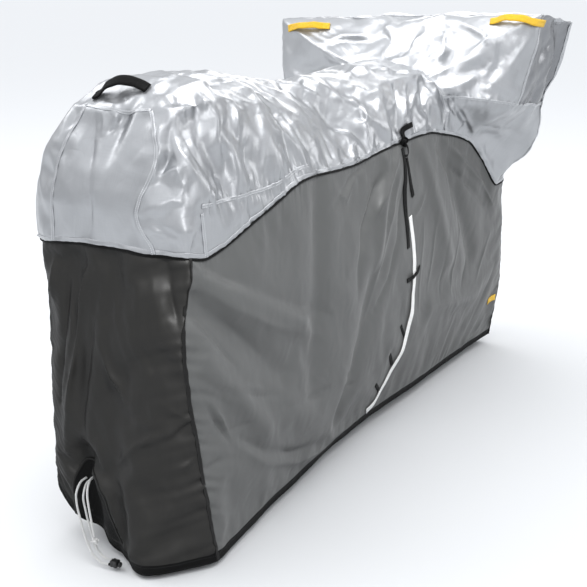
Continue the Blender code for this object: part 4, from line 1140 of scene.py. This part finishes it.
# place, target, size, power and what is lit: all, the cover, the floor or the pieces named later
studioLights = {
    "keyLight": ((-1.2, 2.6, 3.2), (0, 0, .7), (1.6, 1.6), 24, "all"),
    "topLight": ((.2, -.9, 3.3), (0, 0, .8), (2.6, 1.8), 62, "cover"),
    "sideLight": ((3.2, -3.0, 1.9), (0, 0, .8), (1.8, 1.3), 19, "cover"),
    "rearLight": ((-3.6, -3.4, 2.7), (-.8, -.1, .7), (1.4, 1.1), 27, "cover"),
    "ridgeLight": ((3.5, 1.2, 2.4), (-.3, 0, .95), (1.6, 1.6), 26, "cover"),
    "rakeLight": ((-2.3, -1.9, 3.3), (-.6, -.35, .45), (.7, .7), 300, "darkCloth"),
    "hoodLight": ((-2.0, .3, 2.5), (.6, -.1, 1.0), (2.4, 2.6), 70, "hoodCloth"),
    "floorLight": ((0, 0, 6), (0, 0, 0), (8, 8), 185, "floor"),
}


def areaLight(name, place, target, size, power, lit, floor):
    data = bpy.data.lights.new(name, "AREA")
    data.shape = "RECTANGLE"
    data.size, data.size_y = size
    data.energy = power
    obj = objectOf(name, data)
    obj.location = world(place)
    obj.rotation_euler = (Vector(world(target)) - obj.location).to_track_quat("-Z", "Y").to_euler()
    if lit == "all":
        return
    group = bpy.data.collections.new(lit)
    obj.light_linking.receiver_collection = group
    if lit in ("cover", "floor"):
        group.objects.link(floor)
        group.collection_objects[0].light_linking.link_state = "EXCLUDE" if lit == "cover" else "INCLUDE"
    litBy[lit] = group


def buildStudio():
    data = bpy.data.cameras.new("camera")
    data.lens, data.sensor_width = studio["focal"], studio["sensor"]
    data.clip_start, data.clip_end = .05, 3000
    camera = objectOf("camera", data)
    camera.location = world(studio["camera"])
    yaw, pitch = studio["yaw"], studio["pitch"]
    ahead = Vector((math.cos(pitch) * math.cos(yaw), math.cos(pitch) * math.sin(yaw),
                    math.sin(pitch)))
    camera.rotation_euler = ahead.to_track_quat("-Z", "Y").to_euler()
    bpy.context.scene.camera = camera
    half = studio["floorSize"] / 2
    floor = meshFrom("studioFloor", [(-half, -half, 0), (half, -half, 0), (half, half, 0),
                                     (-half, half, 0)], [(0, 1, 2, 3)])
    floor.location = world((0, 0, -.002))
    mat, _, _, shader = startMaterial("studioFloor")
    setSockets(shader, {"Base Color": (*studio["floorColour"], 1), "Roughness": .9,
                        "Specular IOR Level": 0})
    floor.data.materials.append(mat)
    back = bpy.data.worlds.new("studioWorld")
    bpy.context.scene.world = back
    back.use_nodes = True
    tree = back.node_tree
    link = tree.links.new
    place = newNode(tree, "ShaderNodeTexCoord")
    split = newNode(tree, "ShaderNodeSeparateXYZ")
    link(place.outputs["Generated"], split.inputs[0])
    height = newNode(tree, "ShaderNodeMapRange", {"From Min": .02, "From Max": .55})
    link(split.outputs["Z"], height.inputs["Value"])
    air = newNode(tree, "ShaderNodeMix", {"A": (*studio["lowAir"], 1), "B": (*studio["highAir"], 1)},
                  data_type="RGBA")
    link(height.outputs["Result"], air.inputs["Factor"])
    link(air.outputs["Result"], tree.nodes["Background"].inputs["Color"])
    dim = newNode(tree, "ShaderNodeMapRange", {"From Min": .2, "From Max": .9, "To Min": 1.0,
                                               "To Max": studio["dimSide"]})
    link(split.outputs["X"], dim.inputs["Value"])
    link(dim.outputs["Result"], tree.nodes["Background"].inputs["Strength"])
    seen = newNode(tree, "ShaderNodeBackground", {"Color": (*studio["seenAir"], 1)})
    ray = newNode(tree, "ShaderNodeLightPath")
    mix = newNode(tree, "ShaderNodeMixShader")
    link(ray.outputs["Is Camera Ray"], mix.inputs[0])
    link(tree.nodes["Background"].outputs[0], mix.inputs[1])
    link(seen.outputs[0], mix.inputs[2])
    link(mix.outputs[0], tree.nodes["World Output"].inputs["Surface"])
    for name, (place, target, size, power, lit) in studioLights.items():
        areaLight(name, place, target, size, power, lit, floor)
    bpy.context.scene.view_settings.view_transform = "Standard"
    print("studio set up")


sewing = {
    "stripWidth": .0085, "stripThick": .0011, "stripGap": .0002,
    "stitch": (.0030, .00075, .00055),      # length, half width and height of one stitch
    "pitch": .0043, "step": .006, "foldWidth": .0110, "foldUp": .0075,
    "topShare": (.06, .94),                 # how much of a line across the top has its seam
    "pipingRadius": .0024, "pipingOut": .0010,
    "hemEdge": .0014, "hemRows": (.004, .018), "hemLift": .0012,
}


def shellTree(fine):
    return BVHTree.FromPolygons([Vector(p) for p in fine["points"]],
                                [tuple(map(int, quad)) for quad in fine["quads"]])


def onCloth(tree, point):
    # the nearest place of the cloth and the way it faces, which is outwards
    place, normal, _, _ = tree.find_nearest(Vector(point))
    return np.array(place), np.array(normal)


def laidOn(tree, path, rounds, closed=False):
    # a path seated on the cloth, with the way that the cloth faces there, both evened out
    spots = [onCloth(tree, place) for place in path]
    centres, outs = (evened(np.array(part), rounds, closed) for part in zip(*spots))
    return centres, unit(outs)


def ovalSection(radius, wide=1, high=1):
    turn = np.linspace(0, 2 * math.pi, 10, endpoint=False)
    return np.stack([np.cos(turn) * radius * wide, np.sin(turn) * radius * high], axis=1)


def stripSection(half, thick, sunk, edge, crown):
    # a folded strip seen from its end: sunk edges, rounded shoulders and a flat top
    side = ((half, -sunk), (half * edge, thick * .6), (half * .7, thick))
    return [(-across, up) for across, up in side] + [(0, thick * crown), *reversed(side)]


def wallGrid(shell):
    return shell["points"][:shell["total"] * shell["high"]].reshape(shell["total"], shell["high"], 3)


def evenPath(places, step, closed=False):
    # points a step apart along a smooth line through the places
    places = np.asarray(places, float)
    if closed:
        places = np.concatenate([places[-2:], places, places[:3]])
    along = lengthsAlong(places)
    start, stop = (along[2], along[-3]) if closed else (0, along[-1])
    count = max(2, round((stop - start) / step))
    return curveThrough(along, places, np.linspace(start, stop, count + 1)[:count + (not closed)])


def tubeFaces(stations, around, closed):
    faces = []
    for k in range(stations if closed else stations - 1):
        here, after = k * around, (k + 1) % stations * around
        for j in range(around):
            beyond = (j + 1) % around
            faces.append((here + j, here + beyond, after + beyond, after + j))
    if not closed:
        faces.append(tuple(reversed(range(around))))
        faces.append(tuple(range((stations - 1) * around, stations * around)))
    return faces


def sweep(name, centres, outs, section, closed=False, widths=None):
    # a section of (across, out) places carried along a path that lies on the cloth
    centres, outs = np.array(centres), np.array(outs)
    runs = headings(centres, closed)
    sides = unit(np.cross(runs, outs))
    ups = np.cross(sides, runs)
    widths = np.ones(len(centres)) if widths is None else np.asarray(widths)
    section = np.array(section)
    points = (centres[:, None] + sides[:, None] * (section[:, 0][None, :, None] * widths[:, None, None])
              + ups[:, None] * section[:, 1][None, :, None])
    faces = tubeFaces(len(centres), len(section), closed)
    steps = np.linalg.norm(centres - np.roll(centres, 1, axis=0), axis=1)
    steps[0] = 0
    girth = lengthsAlong(section)
    uv = np.stack(np.broadcast_arrays(np.cumsum(steps)[:, None], girth[None]), axis=2)
    return meshFrom(name, world(points.reshape(-1, 3)), faces, uv.reshape(-1, 2))


def stitchRow(spots, runs, outs, points, faces):
    # small raised threads, one at each spot: a lozenge with a ridge
    length, half, high = sewing["stitch"]
    for spot, run, out in zip(spots, runs, outs):
        side = np.cross(run, out)
        base = len(points)
        for along, across, up in ((-.5, 0, -.0001), (-.22, -half, 0), (-.22, half, 0), (-.22, 0, high),
                                  (.22, -half, 0), (.22, half, 0), (.22, 0, high), (.5, 0, -.0001)):
            points.append(spot + run * along * length + side * across + out * up)
        faces += [(base + a, base + b, base + c) for a, b, c in ((0, 1, 3), (0, 3, 2), (7, 6, 4), (7, 5, 6))]
        faces += [(base + 1, base + 4, base + 6, base + 3), (base + 3, base + 6, base + 5, base + 2)]


def stitchesAlong(name, path, outs, offsets, mat, slotName, lift, closed=False):
    # rows of stitches beside a path, joined in one mesh
    path, outs = np.array(path), np.array(outs)
    runs = np.roll(path, -1, axis=0) - path if closed else np.gradient(path, axis=0)
    runs = unit(runs)
    sides = np.cross(runs, outs)
    along = lengthsAlong(path)
    at = np.arange(sewing["pitch"] / 2, along[-1], sewing["pitch"])
    pick = np.clip(np.searchsorted(along, at) - 1, 0, len(path) - 2)
    share = ((at - along[pick]) / (along[pick + 1] - along[pick]))[:, None]
    points, faces = [], []
    mix = [values[pick] * (1 - share) + values[pick + 1] * share for values in (path, runs, sides, outs)]
    for offset in offsets:
        stitchRow(mix[0] + mix[2] * offset + mix[3] * lift, mix[1], mix[3], points, faces)
    obj = meshFrom(name, world(points), faces)
    return keep(obj, slotName, mat)


def seamStrip(name, tree, places, mat, slotName, thread):
    # a felled seam: the folded cloth stands up a little, with a row of stitches at each side
    centres, outs = laidOn(tree, evenPath(places, sewing["step"]), 2)
    half, thick = sewing["stripWidth"] / 2, sewing["stripThick"]
    section = stripSection(half, thick, .0012, .96, .75)
    along = np.arange(len(centres)) * sewing["step"]
    centres = centres + outs * (sewing["stripGap"] + .0004 * (1 + np.sin(along * 210)))[:, None]
    strip = sweep(name, centres, outs, section, widths=1 + .10 * np.sin(along * 150))
    keep(strip, slotName, mat)
    stitchesAlong(name + "_stitches", centres, outs, (-half * .62, half * .62), thread, slotName,
                  thick * .9)


def levelPath(shell, level, first, last):
    # places of one level of the wall, from one line to another on the way round
    owner = shell["owner"]
    start, stop = owner.index(first), owner.index(last)
    if stop <= start:
        stop += shell["total"]
    grid = wallGrid(shell)
    row = rowOf(level)
    return [grid[k % shell["total"], row] for k in range(start, stop + 1)]


def columnPath(shell, line, low, high):
    grid = wallGrid(shell)
    column = shell["owner"].index(line)
    return list(grid[column, rowOf(low) if low else 0:(rowOf(high) if high else shell["high"] - 1) + 1:2])


def topPath(shell, line):
    # places across the top, from the right edge to the left
    seat = shell["seat"]
    row = seat[shell["owner"].index(line) - shell["first"]]
    last = len(row) - 1
    start, stop = (round(share * last) for share in sewing["topShare"])
    return [shell["points"][k] for k in row[start:stop + 1:2]]


def sewCover(shell, tree):
    # every seam that the cut pieces share, the piping under the silver and the hem's band
    silver = (mats["silver"], "silver_coated_nylon", mats["paleThread"])
    seams = {
        "seam_rear_right": columnPath(shell, "rear_flank_R", "seam", None),
        "seam_rear_left": columnPath(shell, "rear_flank_L", "seam", None),
        "seam_rear_top": levelPath(shell, "edge", "rear_flank_L", "rear_flank_R"),
        "seam_gusset_right": levelPath(shell, "band", "hem_tip_R", "hip_R"),
        "seam_gusset_left": levelPath(shell, "band", "hip_L", "hem_tip_L"),
        "seam_tip_right": columnPath(shell, "hem_tip_R", "seam", "band"),
        "seam_tip_left": columnPath(shell, "hem_tip_L", "seam", "band"),
        "seam_hood_foot": (columnPath(shell, "hood_foot_R", "seam", None) + topPath(shell, "hood_foot_R")
                           + columnPath(shell, "hood_foot_L", "seam", None)[::-1]),
        "seam_under_right": levelPath(shell, "crease", "hood_foot_R", "hood_front_R"),
        "seam_under_left": levelPath(shell, "crease", "hood_front_L", "hood_foot_L"),
        "seam_hood_edge": (columnPath(shell, "hood_rear_R", "crease", None) + topPath(shell, "hood_rear_R")
                           + columnPath(shell, "hood_rear_L", "crease", None)[::-1]),
        "seam_front_right": columnPath(shell, "hood_front_R", "seam", None),
        "seam_front_left": columnPath(shell, "hood_front_L", "seam", None),
    }
    for name, places in seams.items():
        seamStrip(name, tree, places, *silver)
    dark = (mats["black"], "black_nylon", mats["darkThread"])
    for name, corner in (("seam_black_", "rear_corner_"), ("seam_front_black_", "front_corner_")):
        for side in ("right", "left"):
            places = columnPath(shell, corner + side[0].upper(), None, "seam")
            seamStrip(name + side, tree, places, *dark)
    print("seams sewn:", len(seams) + 4)
    # piping right under the silver hem, and the hem's own topstitching above it
    grid = wallGrid(shell)
    row = rowOf("seam")
    path = evenPath(grid[:, row] * .6 + grid[:, row - 1] * .4, sewing["step"], closed=True)
    centres, outs = laidOn(tree, path, 3, closed=True)
    section = ovalSection(sewing["pipingRadius"], wide=1.25)
    piping = sweep("seam_piping_cord", centres + outs * sewing["pipingOut"], outs, section, closed=True)
    keep(piping, "black_binding", mats["binding"], "seam_piping")
    above = centres + np.cross(outs, headings(centres, True)) * sewing["foldUp"]
    seated = np.array([onCloth(tree, place)[0] for place in above])
    half, thick = sewing["foldWidth"] / 2, sewing["stripThick"]
    section = stripSection(half, thick, .0010, .95, .7)
    fold = sweep("silver_hem_fold", seated + outs * .0004, outs, section, closed=True)
    keep(fold, "silver_coated_nylon", mats["silver"])
    stitchesAlong("silver_hem_stitches", seated, outs, (-half * .6, half * .6), mats["paleThread"],
                  "silver_coated_nylon", thick * .9, closed=True)
    # the hem's band: bound edge below, two rows of stitches
    low = evenPath(grid[:, 0], sewing["step"], closed=True)
    _, lowOuts = laidOn(tree, low, 3, closed=True)
    edge = sewing["hemEdge"]
    rim = sweep("hem_bound_edge", low + (0, 0, edge), lowOuts, ovalSection(edge, wide=1.1), closed=True)
    keep(rim, "black_binding", mats["binding"])
    uphill = np.cross(lowOuts, headings(low, True))
    for name, up in zip(("hem_stitches_low", "hem_stitches_high"), sewing["hemRows"]):
        seated = np.array([onCloth(tree, place)[0] for place in low + uphill * up])
        stitchesAlong(name, seated, lowOuts, (0,), mats["darkThread"], "black_binding",
                      sewing["hemLift"], closed=True)
    print("piping and hem band bound")
    return piping, rim


# kinds of strap: material, slot and the thread of the sewn ends
strapKinds = {
    "black": ("blackWebbing", "black_webbing", "darkThread"),
    "plainBlack": ("blackWebbing", "black_webbing", None),
    "yellow": ("yellowWebbing", "yellow_webbing", "yellowThread"),
    "white": ("whiteTape", "white_tape", "paleThread"),
}
# straps and tapes: node, side that they are laid from, width, thickness, kind, and places as
# (one way, other way, height over the cloth) seen from that side
straps = (
    ("handle_rear_black", "top", .026, .0042, "black",
     ((-.850, .084, 0), (-.848, .070, .003), (-.842, .046, .017), (-.836, .018, .021),
      (-.834, -.008, .013), (-.833, -.026, .005), (-.832, -.040, 0))),
    ("handle_hood_left_yellow", "rear", .022, .0024, "yellow",
     ((.376, 1.090, 0), (.358, 1.092, .004), (.325, 1.091, .016), (.285, 1.094, .016),
      (.254, 1.097, .005), (.238, 1.098, 0))),
    ("handle_hood_right_yellow", "rear", .022, .0024, "yellow",
     ((-.246, 1.118, .0008), (-.262, 1.118, .005), (-.294, 1.119, .020), (-.330, 1.119, .020),
      (-.357, 1.118, .006), (-.372, 1.116, 0))),
    ("tie_tape_black", "side", .020, .0016, "black",
     ((.076, .800, 0), (.079, .760, 0), (.081, .702, 0), (.088, .650, 0), (.094, .614, 0),
      (.100, .560, 0), (.104, .520, 0))),
    ("tie_end_upper_black", "side", .015, .0016, "plainBlack",
     ((.099, .812, .003), (.090, .824, .003), (.087, .836, .002), (.094, .847, .002), (.108, .854, .005),
      (.124, .858, .007))),
    ("tie_end_lower_black", "side", .015, .0016, "plainBlack",
     ((.104, .770, 0), (.106, .735, 0), (.116, .700, 0), (.136, .660, .001))),
    ("belly_tape_white", "side", .021, .0018, "white",
     ((.122, .606, 0), (.142, .508, 0), (.149, .458, 0), (.152, .413, .0032), (.152, .344, .0032),
      (.139, .285, .0032), (.122, .237, .0032), (.099, .197, .0032), (.072, .156, .0032),
      (.046, .115, .0032), (.016, .083, .0028), (-.014, .064, .0014))),
    ("belt_loop_1_black", "side", .013, .0016, "black",
     ((.108, .424, 0), (.122, .427, .0025), (.136, .431, .0054), (.164, .439, .0054),
      (.178, .443, .0025), (.192, .447, 0))),
    ("belt_loop_2_black", "side", .010, .0014, "black",
     ((.094, .296, 0), (.108, .276, 0), (.128, .252, 0))),
    ("belt_loop_3_black", "side", .012, .0014, "black",
     ((.034, .226, 0), (.056, .205, 0), (.078, .182, 0))),
    ("belt_loop_4_black", "side", .012, .0014, "black",
     ((-.018, .150, 0), (.008, .132, 0), (.034, .114, 0))),
    ("side_tab_yellow", "side", .022, .0020, "yellow",
     ((.872, .168, 0), (.890, .172, 0), (.910, .174, 0), (.926, .174, .001))),
)
strapGap, strapStep = .0004, .004
# a strap seen from its end, in half widths and thicknesses: soft edges and a shallow groove
strapSection = ((-.97, 0), (-1, .5), (-.94, .95), (-.5, 1.06), (0, 1), (.5, 1.06), (.94, .95), (1, .5),
                (.97, 0), (.5, 0), (0, 0), (-.5, 0))
views = {"side": (lambda u, v: (u, -1, v), (0, 1, 0)), "top": (lambda u, v: (u, v, 2), (0, 0, -1)),
         "rear": (lambda u, v: (-2, u, v), (1, 0, 0))}


def castTo(tree, view, u, v):
    start, way = views[view]
    hit, normal, _, _ = tree.ray_cast(Vector(start(u, v)), Vector(way))
    return np.array(hit), np.array(normal if normal.dot(Vector(way)) < 0 else -normal)


def layStrap(tree, node, view, width, thick, kind, knots):
    # each step of the strap lies on the highest cloth under it, then the steps are evened out
    matName, slotName, threadName = strapKinds[kind]
    line = evenPath(knots, strapStep)
    run = headings(line[:, :2])
    ways = (-.5, -.25, 0, .25, .5)
    under = [[castTo(tree, view, u - dv * way * width, v + du * way * width) for way in ways]
             for (u, v), (du, dv) in zip(line[:, :2], run)]
    out = np.array([np.sum([normal for _, normal in row], axis=0) for row in under])
    out = unit(evened(out, 4))
    middle = np.array([(row[0][0] + row[-1][0]) / 2 for row in under])
    high = np.array([max(0.0, max((place - mid) @ way for place, _ in row))
                     for row, mid, way in zip(under, middle, out)])
    wide = np.maximum(high, np.maximum(np.roll(high, 1), np.roll(high, -1)))
    wide[0], wide[-1] = max(high[:2]), max(high[-2:])
    for _ in range(3):
        wide = np.maximum(evened(wide, 1), high)
    centre = evened(middle + out * (wide + strapGap + line[:, 2])[:, None], 2)
    half = width / 2
    section = [(half * across, thick * up) for across, up in strapSection]
    steps = np.arange(len(centre))
    waver = 1 + .02 * np.sin(steps * .9) + .015 * np.sin(steps * .37)     # never quite the same width
    strap = sweep(node + "_band", centre, out, section, widths=waver)
    keep(strap, slotName, mats[matName], node)
    if threadName:
        boxStitches(node, centre, out, half, thick, threadName, slotName)


boxStitch = {"inset": .0022, "pitch": .0036, "length": 1.5, "most": .22, "side": .7}


def boxStitches(node, centre, out, half, thick, threadName, slotName):
    # each sewn end has a box of stitches with a cross in it
    runs = headings(centre)
    sides = np.cross(runs, out)
    along = lengthsAlong(centre)
    size = min(half * boxStitch["length"], along[-1] * boxStitch["most"])
    low, high = -boxStitch["side"], boxStitch["side"]
    lines = (((0, low), (size, low)), ((0, high), (size, high)), ((0, low), (0, high)),
             ((size, low), (size, high)), ((0, low), (size, high)), ((0, high), (size, low)))
    points, faces = [], []
    for start, way in ((boxStitch["inset"], 1), (along[-1] - boxStitch["inset"], -1)):
        for (a0, c0), (a1, c1) in lines:
            length = math.hypot(a1 - a0, (c1 - c0) * half)
            count = max(2, round(length / boxStitch["pitch"]))
            for k in range(count):
                share = (k + .5) / count
                a = start + way * (a0 + (a1 - a0) * share)
                c = (c0 + (c1 - c0) * share) * half
                seat = min(max(np.searchsorted(along, a), 1), len(along) - 1)
                t = (a - along[seat - 1]) / (along[seat] - along[seat - 1])
                mid = centre[seat - 1] * (1 - t) + centre[seat] * t
                heading = runs[seat] * (a1 - a0) * way + sides[seat] * (c1 - c0) * half
                heading /= np.linalg.norm(heading)
                stitchRow([mid + sides[seat] * c + out[seat] * thick], [heading], [out[seat]], points, faces)
    obj = meshFrom(node + "_stitches", world(points), faces)
    keep(obj, slotName, mats[threadName])


def knotMesh(name, at, radii, tilt, tube, flat):
    # a simple overhand knot of tape or cord: a flattened tube along the knot's path
    at = np.array(at)
    t = np.linspace(0, 2 * math.pi, 48, endpoint=False)
    loop = np.stack([np.sin(t) + 2 * np.sin(2 * t), -np.sin(3 * t) * 1.6, np.cos(t) - 2 * np.cos(2 * t)],
                    axis=1) / (3, 1.6, 3)
    c, s = math.cos(tilt), math.sin(tilt)
    path = loop @ np.array(((c, 0, s), (0, 1, 0), (-s, 0, c))) * np.array(radii) + at
    return sweep(name, path, unit(path - at), ovalSection(tube, high=flat), closed=True)


tieKnot = {"at": (.077, .818), "radii": (.0125, .0055, .0125), "lift": .0085, "tape": .0046, "flat": .6}
# the small bight that hangs out of the knot: its places seen from the side, and its height
tieBight = {"places": ((.081, .806), (.094, .806), (.106, .798), (.108, .784), (.098, .776), (.086, .778)),
            "low": .003, "bulge": .003}


def layStraps(tree):
    for strap in straps:
        layStrap(tree, *strap)
    place, normal = castTo(tree, "side", *tieKnot["at"])
    knot = knotMesh("tie_knot_tape", place + normal * tieKnot["lift"], tieKnot["radii"], .4,
                    tieKnot["tape"], tieKnot["flat"])
    keep(knot, "black_webbing", mats["blackWebbing"], "tie_knot_black")
    bight = []
    for k, (u, v) in enumerate(tieBight["places"]):
        hit, out = castTo(tree, "side", u, v)
        bight.append(hit + out * (tieBight["low"] + tieBight["bulge"] * math.sin(k / 5 * math.pi)))
    centres = evenPath(bight, .002)
    outs = np.tile(normal, (len(centres), 1))
    section = ((-.0035, -.0006), (-.0035, .0006), (0, .0008), (.0035, .0006), (.0035, -.0006), (0, -.0008))
    keep(sweep("tie_bight_tape", centres, outs, section), "black_webbing", mats["blackWebbing"])
    print("straps and tapes laid:", len(straps) + 2)


# the arched opening in the rear hem, which a sheet of painted shade fills: its right and left edge as (y,
# z), from the hem to its top
recess = {
    "right": ((-.008, .040), (.006, .070), (.010, .108), (.014, .150), (.038, .184),
              (.075, .204), (.098, .209)),
    "left": ((.126, .046), (.131, .080), (.133, .105), (.131, .143), (.124, .172),
             (.114, .196), (.104, .209)),
    "lift": .0010,
}


def paintRecessShade(tree):
    # a near-black sheet laid just over the cloth in the opening that the drawcord leaves by: painted shade
    # of the recess
    right, left = (evenPath([(0, *place) for place in recess[side]], .006) for side in ("right", "left"))
    count = 24
    rows = [np.array([side[round(k * (len(side) - 1) / count)] for k in range(count + 1)])
            for side in (right, left)]
    across = 14
    points, faces = [], []
    for k in range(count + 1):
        for j in range(across + 1):
            _, y, z = rows[0][k] + (rows[1][k] - rows[0][k]) * j / across
            place, normal = castTo(tree, "rear", y, z)
            points.append(place + normal * recess["lift"])
    for k in range(count):
        for j in range(across):
            here = k * (across + 1) + j
            faces.append((here, here + across + 1, here + across + 2, here + 1))
    # the sheet is painted shade, darker than the black cloth round it
    shadeSheet = meshFrom("hem_opening_painted_shade", world(points), faces,
                      np.array(points)[:, 1:])
    keep(shadeSheet, "black_binding", mats["binding"])
    edge = [points[k * (across + 1)] for k in range(count + 1)]
    edge += [points[k * (across + 1) + across] for k in range(count, -1, -1)]
    centres, outs = laidOn(tree, evenPath(edge, .004), 4)
    section = ((-.0032, -.0006), (-.0030, .0012), (-.0012, .0022), (.0012, .0022), (.0030, .0012),
               (.0032, -.0006))
    keep(sweep("hem_opening_edge", centres, outs, section), "black_nylon", mats["black"])


# the drawcord: two strands of its loop fall to the lock, the tail ends in a knot (above the floor)
drawcord = {
    "size": .005, "step": .0011, "twist": 1250, "strands": 4,
    "loop": ((-.9236, .098, .168), (-.940, .100, .164), (-.958, .099, .144), (-.965, .093, .122),
             (-.970, .082, .096), (-.975, .069, .067), (-.980, .052, .040), (-.985, .031, .020),
             (-.985, .008, .010), (-.982, -.0082, .0110)),
    "return": ((-.9182, .084, .168), (-.936, .085, .164), (-.956, .081, .138), (-.962, .071, .112),
               (-.966, .060, .083), (-.970, .047, .054), (-.974, .032, .032), (-.975, .014, .020),
               (-.972, .001, .0165), (-.971, -.0083, .0160)),
    "tail": ((-.9190, .074, .178), (-.938, .072, .176), (-.960, .064, .162), (-.972, .054, .142),
             (-.978, .044, .114), (-.982, .036, .090), (-.985, .029, .0675)),
    "knotAt": (-.9861, .0264, .0590), "knotSize": (.0055, .0060, .0058),
    "lockAt": (-.976, -.022, .0135), "lockSize": (.020, .026, .017),
}


def cordMesh(name, knots):
    # a braided cord: a round tube whose strands stand up a little
    radius = drawcord["size"] / 2
    path = evenPath(knots, drawcord["step"])
    around = 16
    runs = headings(path)
    side = unit(np.cross(runs, (.3, .2, .93)))
    up = np.cross(side, runs)
    turn = np.linspace(0, 2 * math.pi, around, endpoint=False)
    step = np.arange(len(path))[:, None] * drawcord["step"]
    strands, twist = drawcord["strands"] * turn, step * drawcord["twist"]
    braid = np.maximum(np.cos(strands + twist), np.cos(strands - twist))
    reach = radius * (.955 + .045 * braid)
    points = (path[:, None] + side[:, None] * (np.cos(turn) * reach)[..., None]
              + up[:, None] * (np.sin(turn) * reach)[..., None])
    uv = np.stack(np.broadcast_arrays(step, (turn * radius)[None]), axis=2)
    obj = meshFrom(name + "_braid", world(points.reshape(-1, 3)),
                   tubeFaces(len(path), around, False), uv.reshape(-1, 2))
    keep(obj, "white_cord", mats["cord"], name)
    return obj, [tuple(place) for place in world(path)]


def lathe(name, centre, axis, rings, around=20):
    # rings of (along, radius) turned about an axis
    axis = np.array(axis, float) / np.linalg.norm(axis)
    side = np.cross(axis, (.1, .2, .97))
    side /= np.linalg.norm(side)
    up = np.cross(axis, side)
    turn = np.linspace(0, 2 * math.pi, around, endpoint=False)
    points = [np.array(centre) + axis * along + (side * math.cos(t) + up * math.sin(t)) * radius
              for along, radius in rings for t in turn]
    return meshFrom(name, world(points),
                    tubeFaces(len(rings), around, False))


lockShape = {
    "body": (.92, .68, .92),                # share of the lock's size that its body takes
    "round": .0040, "profile": .6, "roundSteps": 4, "cells": 3,
    "waistWidth": .16, "waistSide": .10, "waistUp": .07, "shift": .12,
    "button": ((.0000, .0020), (.0001, .0050), (.0008, .0060), (.0022, .0063), (.0034, .0058),
               (.0036, .0046), (.0068, .0045), (.0070, .0040)),
    "lips": {"loop": .0036, "return": .0032}, "lipSunk": .0005,
}


def cordLock():
    # the lock's body with waisted grips, its spring button and the lips of its bores
    at, (sx, sy, sz) = np.array(drawcord["lockAt"]), drawcord["lockSize"]
    body = bmesh.new()
    bmesh.ops.create_cube(body, size=1.0)
    wide, long, high = lockShape["body"]
    for vert in body.verts:
        vert.co = Vector((vert.co.x * sx * wide, vert.co.y * sy * long, vert.co.z * sz * high))
    bmesh.ops.bevel(body, geom=body.edges[:], offset=lockShape["round"], affect="EDGES",
                    segments=lockShape["roundSteps"], profile=lockShape["profile"])
    straight = [edge for edge in body.edges if edge.calc_length() > lockShape["round"]]
    bmesh.ops.subdivide_edges(body, edges=straight, cuts=lockShape["cells"], use_grid_fill=True)
    for vert in body.verts:
        waist = math.exp(-(vert.co.y / (sy * lockShape["waistWidth"])) ** 2)
        vert.co.x *= 1 - lockShape["waistSide"] * waist
        vert.co.z *= 1 - lockShape["waistUp"] * waist
        vert.co += Vector(world(at) + (0, sy * lockShape["shift"], 0))
    data = bpy.data.meshes.new("drawcord_lock_body")
    body.to_mesh(data)
    body.free()
    lock = objectOf("drawcord_lock_body", data)
    for face in data.polygons:
        face.use_smooth = True
    keep(lock, "black_plastic", mats["plastic"], "drawcord_lock")
    button = lathe("drawcord_lock_button", at - (0, sy * .5, 0), (0, 1, 0), lockShape["button"])
    keep(button, "black_plastic", mats["plastic"])
    lips = []
    for name, radius in lockShape["lips"].items():
        place = np.array(drawcord[name][-1]) - (0, lockShape["lipSunk"], 0)
        rings = ((0, .0024), (.0004, radius), (.0012, radius), (.0018, radius * .88), (.0018, .0026),
                 (.0002, .0022))
        lip = lathe("drawcord_lock_lip_" + name, place, (0, 1, 0), rings, 16)
        keep(lip, "black_plastic", mats["plastic"])
        lips.append(lip)
    return lock, button, lips


def layCords():
    cords = {key: cordMesh("drawcord_" + key, drawcord[key]) for key in ("loop", "return", "tail")}
    knot = knotMesh("drawcord_knot_braid", drawcord["knotAt"], drawcord["knotSize"], .3, .0024, 1)
    keep(knot, "white_cord", mats["cord"], "drawcord_knot")
    lock, button, lips = cordLock()


buildStudio()
layCords()
shell = buildShell()
print("shell drawn with", len(shell["points"]), "points")
shell["points"] = settle(shell)
below = np.nonzero(shell["labels"] == "seam_piping")[0]
shell["labels"][below] = shell["labels"][below - 1]      # the piping lies over the panels' upper edge
fine = fineShell(shell)
sheets = {}
darkSlots = {"grey": "grey_nylon", "black": "black_nylon"}
for label in np.unique(fine["labels"]):
    kind = clothKind(label)
    slotName = darkSlots.get(kind, "silver_coated_nylon")
    mat = mats[kind if kind in darkSlots else "silver"]
    # the right hood end takes the darker copy of the silver, which is painted shade
    if label == "hood_end_right":
        mat = mats["silverPaintedShade"]
    if label == "hem_band":
        slotName, mat = "black_binding", mats["binding"]
    sheets[label] = clothPiece(fine, label)
    keep(sheets[label], slotName, mat, label)
    if kind in darkSlots and label != "hem_band":
        litBy["darkCloth"].objects.link(sheets[label])
    if label in ("hood_rear_face", "hood_top_front"):
        litBy["hoodCloth"].objects.link(sheets[label])
print("cloth pieces cut:", len(sheets))
tree = shellTree(fine)
piping, rim = sewCover(shell, tree)
layStraps(tree)
paintRecessShade(tree)
